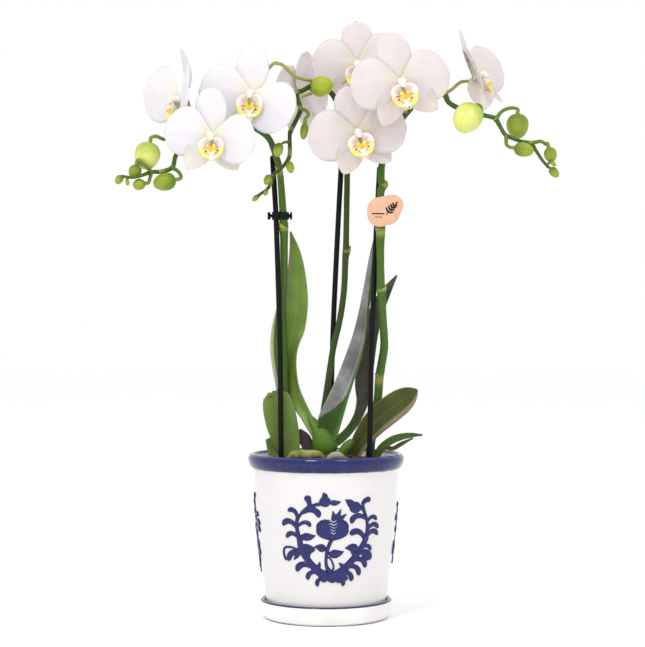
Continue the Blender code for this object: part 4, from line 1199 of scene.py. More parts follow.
@dataclass
class Bedding:
    """Nursery pot, bark and roots."""

    rim: float  # height of the pot's rim, millimetres
    edge_drop: float = 7.0
    mound: float = 5.0
    chip: tuple[float, float, float] = (5.2, 3.6, 1.7)
    spacing: float = 4.4
    density: float = 90000.0  # most chips for each square metre
    heart_drop: float = 2.2  # from the bark's surface down to its solid heart
    sow_drop: float = 1.2  # from the bark's surface down to the chips' middles
    seed: int = 7

    def level(self, radius: float) -> float:
        """Height of the bark at a radius."""
        share = min(1.0, radius / (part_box("bark_bed")[1].x / MM))
        return self.rim - self.edge_drop + self.mound * (1 - share * share)

    def chip_skin(self) -> Skin:
        """One torn chip: a flat block with knocked-off corners."""
        skin = Skin()
        rings, strips = [], []
        for rise, share in ((-1.0, 0.55), (-0.75, 0.92), (0.1, 1.0), (0.7, 0.9), (1.0, 0.5)):
            ring = []
            for step in range(10):
                angle = 2 * pi * step / 10
                boxy = 1 / max(abs(cos(angle)), abs(sin(angle))) ** 0.75
                spot = Vector((self.chip[0] * cos(angle), self.chip[1] * sin(angle), self.chip[2] * rise))
                jag = 1 + 0.22 * noise.noise(Vector((cos(angle) * 2.2, sin(angle) * 2.2, rise * 1.6)))
                ring.append(Vector((spot.x * boxy * share * jag, spot.y * boxy * share * jag, spot.z * jag)))
            rings.append(ring)
            strips.append([(0.0, 0.0, 0.0)] * 10)
        skin.loft(rings, strips)
        return skin

    def make_bark(self) -> None:
        """The bark bed: a solid heart with chips scattered over it by a tree."""
        low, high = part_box("bark_bed")
        radius = high.x / MM
        foot = low.z / MM
        heart = [(0, self.level(0) - self.heart_drop)]
        heart += [(radius * s, self.level(radius * s) - self.heart_drop) for s in (0.3, 0.6, 0.85, 0.98)]
        heart += [(radius - 1.0, self.level(radius) - 4), (34, foot), (0, foot)]
        sown = [(0, self.level(0) - self.sow_drop)]
        sown += [(radius * s, self.level(radius * s) - self.sow_drop) for s in (0.3, 0.6, 0.93)]
        host_skin = lathe(sown, 40)
        host = bpy.data.meshes.new("bark_top")
        host.from_pydata([p * MM for p in host_skin.points], [], host_skin.faces)
        shape = stock("bark_chip", self.chip_skin())
        grower = Grower("bark_chips", BarkFinish())
        chip = grower.size("Chip", "NodeSocketObject", shape)
        gap = grower.size("Spacing", "NodeSocketFloat", self.spacing * MM)
        seed = grower.size("Seed", "NodeSocketInt", self.seed)
        spread = grower.node("GeometryNodeDistributePointsOnFaces", {"distribute_method": "POISSON"}, {
            "Mesh": grower.inside.outputs["Geometry"], "Distance Min": gap, "Density Max": self.density,
            "Seed": seed})
        tumble = grower.node("FunctionNodeRandomValue", {"data_type": "FLOAT_VECTOR"}, {
            0: (-0.5, -0.5, 0.0), 1: (0.5, 0.5, 2 * pi), "Seed": seed})
        sizes = grower.node("FunctionNodeRandomValue", {"data_type": "FLOAT_VECTOR"}, {
            0: (0.45, 0.5, 0.6), 1: (1.15, 1.15, 1.25), "Seed": seed})
        info = grower.node("GeometryNodeObjectInfo", None, {"Object": chip})
        copies = grower.node("GeometryNodeInstanceOnPoints", None, {
            "Points": spread.outputs[0], "Instance": info.outputs["Geometry"], "Rotation": tumble.outputs[0],
            "Scale": sizes.outputs[0]})
        chips = grower.grow(copies.outputs[0], host)
        bpy.data.objects.remove(shape, do_unlink=True)
        base = stock("heart", lathe(heart, 48))
        mesh = merged([chips, base.data])
        bpy.data.objects.remove(base, do_unlink=True)
        finished("bark_chips", mesh, [BarkFinish()], ["bark_bed"])

    def make_grow_pot(self) -> None:
        """The thin nursery pot with its rolled lip."""
        low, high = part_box("grow_pot")
        rim, top, foot = high.x / MM, high.z / MM, low.z / MM
        outer = smooth_rows([(rim, top), (rim + 0.1, top - 0.6), (rim - 1.4, top - 1.2), (rim - 2.2, top - 4),
                             (35, foot + 1), (33.8, foot)], 4)
        inner = [(5, foot), (5, foot + 0.9), (33.2, foot + 0.9), (34.2, foot + 1.6), (rim - 3.1, top - 4),
                 (rim - 2.4, top - 0.4)]
        profile = [tuple(row) for row in outer] + inner
        lathe(profile, 72).build("nursery_pot", [CLEAR_PLASTIC], "clear_plastic", ["grow_pot"])

    def make_roots(self) -> None:
        """Two pale roots that loop over the bark, a green one and a drier, greyer one."""
        finishes = (RootFinish("root_green", (0.34, 0.33, 0.13), (0.15, 0.20, 0.045)),
                    RootFinish("root_grey", (0.40, 0.37, 0.31), (0.27, 0.27, 0.18)))
        for (name, route), finish in zip(ROOTS.items(), finishes):
            skin = Skin()
            skin.tube(lifted(smooth_rows(route, 8), self.rim), 18, rough=0.14)
            skin.build(name.replace("aerial_", "pale_"), [finish], "root_green", [name])


def lifted(rows: Sequence[Row], rim: float) -> list[tuple[float, ...]]:
    """Rows measured from the pot's rim, as heights above the floor."""
    return [(row[0], row[1], row[2] + rim, *row[3:]) for row in rows]


ROOTS: dict[str, list[Row]] = {
    "aerial_root_left": [(-26, -13, -3.6, 1.6), (-22.4, -16.6, -0.2, 2.7), (-17, -20, 0.6, 3.1),
                         (-10, -22.5, 0.6, 3.0), (-4.6, -22.6, 0, 2.6), (-1.4, -20.4, -3.4, 1.8)],
    "aerial_root_right": [(0.8, -22.8, -3.6, 1.6), (4.8, -24.2, -0.2, 2.5), (9, -23, -0.2, 2.5),
                          (13, -19.5, -3.6, 1.8)],
}

STAKES: dict[str, list[Row]] = {
    "stake_left": [(-31.5, -2, -60, 1.9), (-31.5, -2, -4, 1.9), (-32.4, -2, 82, 1.9), (-34.8, -0.3, 160, 1.9),
                   (-35.3, 0.2, 171, 1.9), (-37.6, 5, 207, 1.9)],
    "stake_middle": [(2.1, 17, -60, 1.9), (2.1, 17, -2, 1.9), (3.5, 17, 36, 1.9), (5.3, 17, 93, 1.9),
                     (8.5, 16, 160, 1.9), (11.3, 14, 212, 1.9)],
    "stake_right": [(30.1, -14, -60, 1.9), (30.1, -14, -4, 1.9), (31.4, -13, 72, 1.9), (33.4, -5.6, 118, 1.9),
                    (34.8, -3.6, 150, 1.9), (37.4, -1, 199, 1.9)],
}


@dataclass
class Supports:
    """Stakes, the clip on the left spike, and the printed label."""

    rim: float
    label_corners: tuple[tuple[float, float, float], ...] = ((-1.5, 1.0, 9.0), (7.4, 4.4, 7.2),
                                                             (-1.9, -2.3, 8.4), (3.4, -0.2, 9.2))

    def make_stakes(self) -> None:
        """Three thin rods with rounded tops."""
        for name, route in STAKES.items():
            skin = Skin()
            skin.tube(lifted(smooth_rows(route, 6), self.rim), 18)
            skin.build(name.replace("stake", "support_rod"), [BLACK_PLASTIC], "stake_black", [name])

    def make_clip(self) -> None:
        """Two joined rings with a thumb tab on each side."""
        low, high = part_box("stem_clip")
        skin = Skin()
        middle, deep = (low.z + high.z) / 2 / MM, (low.y + high.y) / 2 / MM
        left, right = low.x / MM, high.x / MM
        for centre, radius, half in ((left + 6.4, 2.2, 2.9), (right - 6.2, 2.9, 2.6)):
            self.ring(skin, Vector((centre, deep, middle)), radius, 1.05, half)
        for outer, inner in ((left + 0.1, left + 4.0), (right - 0.1, right - 3.0)):
            self.tab(skin, outer, inner, deep, middle)
        skin.build("spike_clip", [BLACK_PLASTIC], "stake_black", ["stem_clip"])

    def ring(self, skin: Skin, centre: Vector, radius: float, wall: float, half: float) -> None:
        """A short sleeve with softened edges round a centre; half is half its height."""
        section = [(0, -half + 0.4), (0.35, -half), (wall - 0.35, -half), (wall, -half + 0.4),
                   (wall, half - 0.4),
                   (wall - 0.35, half), (0.35, half), (0, half - 0.4)]
        rings = []
        for step in range(33):
            way = Vector((cos(2 * pi * step / 32), sin(2 * pi * step / 32), 0))
            rings.append([centre + way * (radius + out) + Vector((0, 0, up)) for out, up in section])
        skin.loft(rings, [[(0.0, 0.0, 0.0)] * len(section)] * 33, caps=False)

    def tab(self, skin: Skin, outer: float, inner: float, deep: float, middle: float) -> None:
        """A thumb tab: a narrow neck with an upright bar at its end."""
        section = [(-1, -0.8), (-0.8, -1), (0.8, -1), (1, -0.8), (1, 0.8), (0.8, 1), (-0.8, 1), (-1, 0.8)]
        rings = []
        for share, wide, tall in ((0, 1.3, 2.2), (0.05, 1.5, 2.6), (0.42, 1.5, 2.6), (0.5, 1.2, 2.1),
                                  (0.58, 0.9, 1.1),
                                  (0.8, 0.9, 1.0), (1, 1.0, 1.2)):
            rings.append([Vector((outer + (inner - outer) * share, deep + y * wide, middle + z * tall))
                          for y, z in section])
        skin.loft(rings, [[(0.0, 0.0, 0.0)] * len(section)] * len(rings))

    def make_label(self) -> None:
        """Round-cornered card with a printed leaf sprig."""
        low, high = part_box("plant_label")
        centre = (low + high) / 2 / MM
        middle = [(min(c[i] - c[2] for c in self.label_corners)
                   + max(c[i] + c[2] for c in self.label_corners)) / 2
                  for i in (0, 1)]
        rounds = [(x - middle[0], y - middle[1], r) for x, y, r in self.label_corners]
        outline = []
        for step in range(72):
            way = Vector((cos(2 * pi * step / 72), sin(2 * pi * step / 72)))
            reach = [way.x * x + way.y * y + r for x, y, r in rounds]
            x, y, radius = rounds[reach.index(max(reach))]
            outline.append((x + way.x * radius, y + way.y * radius))
        half = (high.y - low.y) / 2 / MM
        rings = [[Vector((centre.x + x * s, centre.y - y, centre.z + up * s)) for x, up in outline]
                 for s, y in ((0.5, half), (0.985, half), (1.0, half * 0.6), (1.0, -half * 0.6),
                              (0.985, -half), (0.5, -half))]
        skin = Skin()
        skin.loft(rings, [[(0.0, 0.0, 0.0)] * 72] * 6)
        skin.build("card_label", [CardFinish()], "paper_tan", ["plant_label"])
        self.make_sprig(centre, low.y / MM)

    def make_sprig(self, centre: Vector, face: float) -> None:
        """A leafy sprig and two short rules beside it, printed just proud of the card."""
        skin = Skin()
        stem = [(0.6 + 6.6 * t, -2.8 + 9.0 * t - 1.8 * t * t, 0.75 - 0.35 * t)
                for t in (i / 10 for i in range(11))]
        self.print_stroke(skin, stem, centre, face)
        for index, place in enumerate((2, 4, 6, 8, 10)):
            x, up, _ = stem[place]
            for heading in (112 - 3 * index, -2 + 4 * index) if place < 10 else (54,):
                length, way = 4.2 - 0.45 * index, radians(heading)
                leaf = [(x + cos(way) * length * t, up + sin(way) * length * t,
                         1.5 * sin(pi * (0.05 + 0.92 * t ** 0.8)))
                        for t in (i / 8 for i in range(9))]
                self.print_stroke(skin, leaf, centre, face)
        self.print_stroke(skin, [(-9.4, -2.0, 0.9), (-0.6, -2.0, 0.9)], centre, face)
        self.print_stroke(skin, [(-7.2, -4.3, 0.5), (-2.0, -4.3, 0.5)], centre, face)
        skin.build("label_print", [CardFinish("label_ink", (0.020, 0.014, 0.011), (0.04, 0.028, 0.022))],
                   "paper_tan")

    def print_stroke(self, skin: Skin, rows: Sequence[Row], centre: Vector, face: float) -> None:
        """One flat printed stroke of (right, up, width)."""
        rings = []
        for index, (x, up, width) in enumerate(rows):
            before, after = rows[max(index - 1, 0)], rows[min(index + 1, len(rows) - 1)]
            ahead = Vector((after[0] - before[0], after[1] - before[1])).normalized()
            side = Vector((-ahead.y, ahead.x)) * max(width, 0.08) / 2
            rings.append([Vector((centre.x + x + side.x * s, face + depth, centre.z + up + side.y * s))
                          for s, depth in ((-1, 0.02), (-1, -0.05), (1, -0.05), (1, 0.02))])
        skin.loft(rings, [[(0.0, 0.0, 0.0)] * 4] * len(rings))


# ------------------------------------------------------------------ spikes and buds

SPIKES: dict[str, list[Row]] = {  # across, deep, up, radius
    "flower_spike_left": [
        (-30, 10, -4, 3.0), (-29, 11, 20, 2.8), (-28.8, 10.5, 46, 2.7), (-29.2, 9, 64, 2.7),
        (-30.8, 6.6, 100, 2.7), (-29.6, 4.6, 130, 2.7), (-29.5, 2.2, 150, 2.8), (-29.6, 1, 158, 3.3),
        (-30.0, 0.3, 166, 2.7), (-31.2, -1.6, 184, 2.4), (-32.6, -3.5, 199, 2.3), (-35.2, -5, 208, 2.3),
        (-39, -6.5, 218, 2.2), (-44, -8, 223, 2.2), (-52.5, -8.5, 228, 2.1), (-63.5, -8.6, 234, 2.0),
        (-77, -10.5, 234, 1.9), (-90, -17, 225, 1.8), (-99, -22, 214, 1.7), (-103.5, -24, 205, 1.6),
        (-105.5, -25, 197.5, 1.6), (-113.5, -26.5, 194.5, 1.5), (-119.5, -29.5, 194, 1.4),
        (-125, -38, 191, 1.2), (-131, -40.3, 189.4, 1.1), (-138.5, -40, 190.3, 1.0),
    ],
    "flower_spike_middle": [
        (-3.4, 12.2, -1.3, 2.6), (-3.6, 12, 15, 2.4), (-2.1, 12, 26, 2.3), (0.6, 12, 44, 2.2),
        (4.9, 12, 72, 2.2), (9.7, 12, 93, 2.2), (12.7, 12, 114, 2.2), (13.7, 12, 136, 2.3),
        (14.4, 12, 142, 2.9), (14.2, 12, 148, 2.2), (14.9, 11, 192, 2.1), (14.8, 10, 212, 2.1),
        (13.8, 9, 229, 2.0), (9.6, 7, 243, 2.0), (2, 2, 254, 1.9), (-5, -3.5, 258, 1.8),
        (-10.4, -6, 256, 1.8), (-16.4, -8, 252.4, 1.7), (-20.4, -9, 250.5, 1.9), (-19.5, -10, 245, 1.6),
        (-17.7, -11, 239, 1.8), (-20.8, -12, 231.5, 1.5), (-24.3, -13, 224, 1.7), (-25.2, -14, 220, 1.4),
        (-25.2, -15, 207, 1.5), (-28.5, -15.5, 200.6, 1.3), (-32.6, -16, 196.4, 1.3),
        (-36, -16.5, 193.4, 1.3), (-38.8, -17, 186, 1.2), (-41.4, -17.5, 182.6, 1.1),
        (-45.5, -18, 179.7, 1.0), (-48.5, -18, 177.2, 1.5),
    ],
    "flower_spike_right": [
        (31, 10, -3.9, 3.2), (32, 9, 9, 3.1), (36.2, 5, 36, 3.0), (37.6, 3, 54, 3.1), (40.4, -1, 71.8, 2.9),
        (40.4, -4, 82, 2.8), (39.6, -6, 92.5, 2.8), (38.6, -8, 109, 2.9), (38.2, -8.3, 114, 3.3),
        (38, -8.5, 120, 2.8), (37.7, -8.5, 141.5, 2.7), (37.9, -8.5, 155.5, 3.3), (37.8, -8.5, 163, 2.7),
        (38, -8.5, 181.5, 2.6), (40.2, -8.5, 187, 3.0), (38.4, -8, 190, 2.5), (39.2, -7, 204, 2.4),
        (43, -6.5, 215, 2.3), (48, -7, 225, 2.3), (53, -9, 233, 2.2), (58.5, -11, 239.5, 2.1),
        (64, -12, 247.5, 2.0), (72.2, -13, 250.8, 1.9), (81.5, -14, 249.2, 2.1), (84.5, -13.5, 244, 1.8),
        (89.5, -13.8, 240.5, 1.8), (98.5, -15, 237.3, 1.7), (107.5, -15.5, 234.8, 1.6),
        (115, -15.5, 233, 1.6), (117.3, -15.5, 231.8, 1.8), (121, -16, 225.2, 1.4),
        (124.3, -17.5, 220.3, 1.5), (134.8, -17, 216.2, 1.3), (141.5, -16, 215, 1.4),
        (145.6, -15, 209.2, 1.2), (149.2, -14.5, 203.8, 1.1), (153.6, -14.2, 198.6, 1.0),
    ],
}
# Nodes with a bract: place in the spike's list, the way it faces (degrees round the stem), length
BRACTS: dict[str, list[tuple[int, float, float]]] = {
    "flower_spike_left": [(7, 200, 8), (10, 160, 5), (17, 90, 4), (21, 240, 4)],
    "flower_spike_middle": [(8, 20, 7), (12, 180, 5), (18, 200, 4), (20, 0, 4), (22, 180, 3), (24, 0, 3),
                            (28, 0, 3)],
    "flower_spike_right": [(3, 180, 2.6), (8, 0, 6), (11, 170, 5), (14, 0, 3), (19, 150, 4), (23, 0, 4),
                           (29, 180, 3), (33, 0, 3)],
}
# Stalks: spike, points from the spike to what it carries
STALKS: dict[str, tuple[str, list[Row]]] = {
    "flower_1": ("flower_spike_left", [(-84, -15, 229.4), (-90, -10, 235), (-95, -6, 241)]),
    "flower_2": ("flower_spike_left", [(-77, -10.5, 234), (-80, -18, 228.6), (-78.6, -30, 221)]),
    "flower_3": ("flower_spike_middle", [(-5, -3.5, 258), (-10.2, -6, 259.6), (-16.4, -9, 260.4),
                                         (-22.6, -11, 262.6), (-29.5, -13, 269), (-33, -13.5, 270.4),
                                         (-37, -13, 270), (-46, -11, 260), (-51, -12.5, 250.6)]),
    "flower_4": ("flower_spike_right", [(56, -10, 236.5), (53, -20, 243), (50, -32, 251)]),
    "flower_5": ("flower_spike_right", [(41.5, -6.7, 211), (33, -8, 217), (24, -14, 221)]),
    "flower_6": ("flower_spike_middle", [(12, 8.5, 236), (15, 16, 250), (20, 17, 268), (22.5, 13.5, 272.8)]),
    "flower_7": ("flower_spike_middle", [(-2.5, -1.2, 257), (-6, 8, 256), (-11, 17.5, 253.6)]),
    "flower_8": ("flower_spike_right", [(81.5, -14, 249.2), (87, -8, 253), (94, 2, 259.5)]),
    "bud_left_1": ("flower_spike_left",
                   [(-90, -17, 225), (-100, -23, 219.5), (-110, -26, 216.6), (-116, -27.5, 218.6)]),
    "bud_left_2": ("flower_spike_left", [(-105.5, -25, 197.5), (-101.3, -26, 194.6), (-99.4, -27.5, 191.5)]),
    "bud_left_3": ("flower_spike_left", [(-119.5, -29.5, 194), (-121.5, -36.6, 196.5), (-125, -38.2, 199.6)]),
    "bud_left_4": ("flower_spike_left", [(-119.5, -29.5, 193.8), (-120.2, -31.5, 189.5)]),
    "bud_middle_1": ("flower_spike_middle", [(-10.4, -6, 256)]),
    "bud_middle_2": ("flower_spike_middle", [(-17.7, -11, 239), (-14.5, -13, 238.4), (-12.2, -15.4, 235)]),
    "bud_right_1": ("flower_spike_right", [(107.5, -15.5, 234.8), (106.6, -18, 239.6)]),
    "bud_right_2": ("flower_spike_right", [(117.3, -15.5, 231.8), (121.5, -13, 237.2), (127.4, -10.6, 240)]),
    "bud_right_3": ("flower_spike_right", [(124.3, -17.5, 220.3), (124, -21, 214)]),
    "bud_right_4": ("flower_spike_right", [(141.5, -16, 215), (148.2, -15, 216.4), (152, -14.3, 214.6)]),
}


@dataclass(frozen=True)
class Bud:
    """One bud: centre, width, length, the way its tip points and its finish."""

    centre: Row
    width: float
    length: float
    tip: Row
    finish: BudFinish


LIME_BUD = BudFinish("bud_lime", (0.130, 0.205, 0.012), (0.290, 0.350, 0.032))
PALE_BUD = BudFinish("bud_pale", (0.340, 0.430, 0.060), (0.680, 0.700, 0.200))
OLIVE_BUD = BudFinish("bud_olive", (0.200, 0.290, 0.012), (0.330, 0.400, 0.028))
BUDS: dict[str, Bud] = {
    "bud_left_1": Bud((-122.5, -28, 205.2), 19.0, 19.4, (-0.22, 0, -0.97), PALE_BUD),
    "bud_left_2": Bud((-110.6, -28, 187.4), 13.3, 15.8, (-0.97, 0, -0.2), LIME_BUD),
    "bud_left_3": Bud((-130.3, -34.4, 193.7), 9.6, 9.8, (-0.25, 0.1, -0.97), LIME_BUD),
    "bud_left_4": Bud((-127.2, -36.2, 184.9), 8.4, 8.6, (-0.75, -0.5, -0.2), LIME_BUD),
    "bud_middle_1": Bud((-2.6, -14.6, 254.6), 15.4, 16.2, (0.72, -0.66, 0.1), OLIVE_BUD),
    "bud_middle_2": Bud((-15.2, -16.5, 223.2), 6.0, 11.6, (-0.12, 0, -1), LIME_BUD),
    "bud_right_1": Bud((96.6, -29.5, 230.6), 21.4, 23.0, (-0.5, -0.5, -0.7), PALE_BUD),
    "bud_right_2": Bud((133.1, -9.5, 227.6), 16.6, 17.4, (0.02, 0.05, -1), LIME_BUD),
    "bud_right_3": Bud((135.8, -22.5, 209.9), 10.8, 13.6, (0.97, -0.1, -0.2), LIME_BUD),
    "bud_right_4": Bud((155.2, -14, 207.2), 9.6, 10.4, (0.25, 0, -0.97), LIME_BUD),
}
TIP_BUDS: dict[str, list[Bud]] = {
    "flower_spike_left": [Bud((-140.4, -40, 187.9), 5.8, 6.6, (-0.5, 0, -0.8), LIME_BUD),
                          Bud((-134.5, -40.5, 186.0), 3.0, 4.5, (0.1, 0, -1), LIME_BUD)],
    "flower_spike_middle": [Bud((-33.0, -17.0, 210.3), 7.4, 10.2, (-0.2, -0.2, -1), LIME_BUD),
                            Bud((-24.8, -16.5, 198.4), 6.0, 8.4, (0.2, -0.2, -1), LIME_BUD),
                            Bud((-40.2, -18.0, 189.6), 6.0, 7.6, (-0.4, -0.1, -0.8), LIME_BUD),
                            Bud((-41.5, -20.0, 180.5), 3.4, 4.6, (-0.3, -0.3, -0.8), LIME_BUD),
                            Bud((-48.8, -18.0, 176.9), 4.0, 5.4, (-0.7, 0, -0.7), LIME_BUD)],
    "flower_spike_right": [Bud((157.8, -14.0, 195.0), 6.6, 8.4, (0.6, 0, -0.7), LIME_BUD),
                           Bud((156.6, -19.6, 200.6), 3.4, 5.0, (0.5, -0.2, -0.6), LIME_BUD)],
}


@dataclass
class Spikes:
    """The three spikes with their nodes, bracts and stalks, and all the buds."""

    rim: float
    stalk_radius: float = 1.25
    flower_backs: dict[str, tuple[Vector, Vector]] = field(default_factory=dict)

    def bud(self, skin: Skin, bud: Bud, finish: int) -> None:
        """Lofts one bud: three scales meeting at seams, plump near the stalk and blunt at the tip."""
        tip = Vector(bud.tip).normalized()
        turn = tip.to_track_quat("Z", "Y").to_matrix()
        foot = Vector(bud.centre) + Vector((0, 0, self.rim)) - tip * bud.length / 2
        rings, strips = [], []
        rows, sides = 16, 30
        for row in range(rows + 1):
            angle = pi * (0.03 + 0.965 * row / rows)
            along = (1 - cos(angle)) / 2
            radius = sin(angle) ** 0.92 * bud.width / 2 * (1.03 - 0.22 * along)
            ring, values = [], []
            for side in range(sides):
                round_it = 2 * pi * side / sides
                seam = exp(-(((round_it * 3 / (2 * pi)) % 1 - 0.5) / 0.07) ** 2) * min(1.0, along * 1.6)
                swell = 1 + 0.035 * cos(3 * round_it) - 0.03 * seam
                ring.append(foot + turn @ Vector((cos(round_it) * radius * swell,
                                                  sin(round_it) * radius * swell,
                                                  along * bud.length)))
                values.append((0.0, along, seam))
            rings.append(ring)
            strips.append(values)
        skin.loft(rings, strips, finish)

    def bract(self, skin: Skin, foot: Vector, ahead: Vector, radius: float, facing: float,
              length: float) -> None:
        """A small pointed scale that clasps a node.

        Args:
            skin: where it goes.
            foot: the node's middle.
            ahead: the stem's direction there.
            radius: the stem's radius.
            facing: the side that it grows on, in degrees round the stem from +X.
            length: its length.
        """
        way = Vector((cos(radians(facing)), sin(radians(facing)), 0))
        out = (way - ahead * way.dot(ahead)).normalized()
        side = ahead.cross(out)
        rows, values = [], []
        for step in range(8):
            along = step / 7
            spread = (1 - along ** 1.6) * 1.55 + 0.02
            reach = radius * (1.04 + 0.04 * along * along)
            row = []
            for column in range(9):
                angle = (column / 4 - 1) * spread
                edge = (out * cos(angle) + side * sin(angle)) * reach
                row.append(foot + edge + ahead * (length * (along - 0.12)))
            rows.append(row)
            values.append([(column / 4 - 1, along) for column in range(9)])
        skin.sheet(rows, 0.5, values, 1, 1)

    def stalk(self, skin: Skin, rows: list[Row], end: Vector, way: Vector, finish: int) -> None:
        """A stalk that leaves its spike and runs straight into what it carries."""
        neck = end - way * 3.2
        path = [(*row, self.stalk_radius * 1.25) for row in rows[:1]]
        path += [(*row, self.stalk_radius) for row in rows[1:]]
        path += [(*neck, self.stalk_radius * 0.95), (*(end - way * 0.6), self.stalk_radius * 1.12),
                 (*end, self.stalk_radius * 1.1)]
        smooth = smooth_rows(path, 5)
        last = len(smooth) - 1
        skin.tube(smooth, 12, [0.25 + 0.6 * (i / last) ** 2 for i in range(last + 1)], finish)

    def make_spike(self, name: str) -> None:
        """One spike: stem, nodes, bracts, stalks and its smallest buds."""
        skin = Skin()
        table = lifted(SPIKES[name], self.rim)
        rows = smooth_rows(table, 6)
        nodes = [index * 6 for index, _, _ in BRACTS[name]]
        tints = [max([exp(-((i - n + 1) / 1.6) ** 2) for n in nodes]) * 0.9 for i in range(len(rows))]
        skin.tube(rows, 18, tints, rough=0.05)
        for index, facing, length in BRACTS[name]:
            here, after = Vector(table[index][:3]), Vector(table[min(index + 1, len(table) - 1)][:3])
            self.bract(skin, here, (after - here).normalized(), table[index][3], facing, length * 0.55)
        for piece, (spike, route) in STALKS.items():
            if spike == name:
                self.stalk(skin, lifted(route, self.rim), *self.seat(piece),
                           3 if piece in self.flower_backs else 1)
        for bud in TIP_BUDS[name]:
            self.bud(skin, bud, 2)
            middle = Vector(bud.centre) + Vector((0, 0, self.rim))
            foot = middle - Vector(bud.tip).normalized() * bud.length / 2
            near = min(rows, key=lambda row: (Vector(row[:3]) - foot).length)
            inside = foot + Vector(bud.tip).normalized() * bud.length * 0.25
            skin.tube(smooth_rows([near, (*foot.lerp(Vector(near[:3]), 0.4), 0.9), (*inside, 0.9)], 4), 10,
                      finish=1)
        stem = DARK_STEM if name.endswith("middle") else GREEN_STEM
        skin.build(name.replace("flower_", "orchid_"), [stem, LIME_STEM, LIME_BUD, OLIVE_STEM], "stem_green",
                   [name])

    def seat(self, piece: str) -> tuple[Vector, Vector]:
        """Where a stalk ends and the way it points there: a flower's back or a bud's foot."""
        if piece in self.flower_backs:
            return self.flower_backs[piece]
        bud = BUDS[piece]
        way = Vector(bud.tip).normalized()
        return Vector(bud.centre) + Vector((0, 0, self.rim)) - way * (bud.length / 2), way

    def make_buds(self) -> None:
        """The larger buds, each a piece of its own."""
        for name, bud in BUDS.items():
            skin = Skin()
            self.bud(skin, bud, 0)
            skin.build(name.replace("bud", "orchid_bud"), [bud.finish], "bud_green", [name])


# ------------------------------------------------------------------ flowers

@dataclass(frozen=True)
class Blade:
    """A sepal's or petal's outline and curves, in the flower's own axes."""

    heading: float  # degrees
    length: float
    width: float
    widest: float = 0.55  # share of the length
    claw: float = 0.10  # width at the base, as a share
    blunt: float = 0.62
    cup: float = 1.6  # how far the edges come forward
    ruffle: float = 0.5
    lean: float = 0.0  # shifts the outline to one side


SEPALS = (Blade(90, 32.0, 22.5, 0.56, 0.22, 0.52, -1.0, 0.3),
          Blade(-57, 30.5, 18.5, 0.50, 0.25, 0.75, 1.2, 0.35),
          Blade(237, 30.5, 18.5, 0.50, 0.25, 0.75, 1.2, 0.35))
PETALS = (Blade(8, 33.0, 34.0, 0.56, 0.10, 0.55, -1.2, 1.0, 0.07),
          Blade(172, 33.0, 34.0, 0.56, 0.10, 0.55, -1.2, 1.0, -0.07))


@dataclass(frozen=True)
class Pose:
    """How one flower's blades lean forward, in degrees, and how its upper sepal is stretched."""

    upper: float = 0.0
    sepals: tuple[float, float] = (4.0, 4.0)  # right, left
    petals: tuple[float, float] = (3.0, 3.0)
    stretch: float = 1.0
    cool: bool = False
    tilt: float = 0.0  # how much more its face looks up
    shift: tuple[float, float, float] = (0.0, 0.0, 0.0)
    bow: float = 0.0  # how fast its upper sepal curves forward, per millimetre
    droop: tuple[float, float] = (0.0, 0.0)  # how far each petal hangs
    twists: tuple[float, float] = (0.0, 0.0)
    spread: float = 1.0  # its petals' size
    splay: tuple[float, float] = (0.0, 0.0)  # how far each lower sepal swings outwards


POSES: dict[int, Pose] = {
    1: Pose(-25, (0, 20), (14, 38), 1.25, True, bow=0.020, shift=(3.5, 0, 2.0), spread=1.2),
    2: Pose(2, (6, 10), (20, 8), 1.05, True, droop=(26, 0), spread=1.04, splay=(0, 8)),
    3: Pose(0, (4, 6), (20, 6), 1.0, True, droop=(43, 9), spread=1.09),
    4: Pose(4, (8, 5), (6, 4), 1.02, droop=(10, 4), splay=(10, 0)),
    5: Pose(3, (6, 6), (16, 4), 1.0, droop=(18, 4), spread=1.04),
    6: Pose(0, (4, 4), (4, 4), 0.94, droop=(0, 6)),
    8: Pose(17, (26, 8), (34, 22), 1.22, tilt=20, twists=(0, 62), spread=1.12),
}


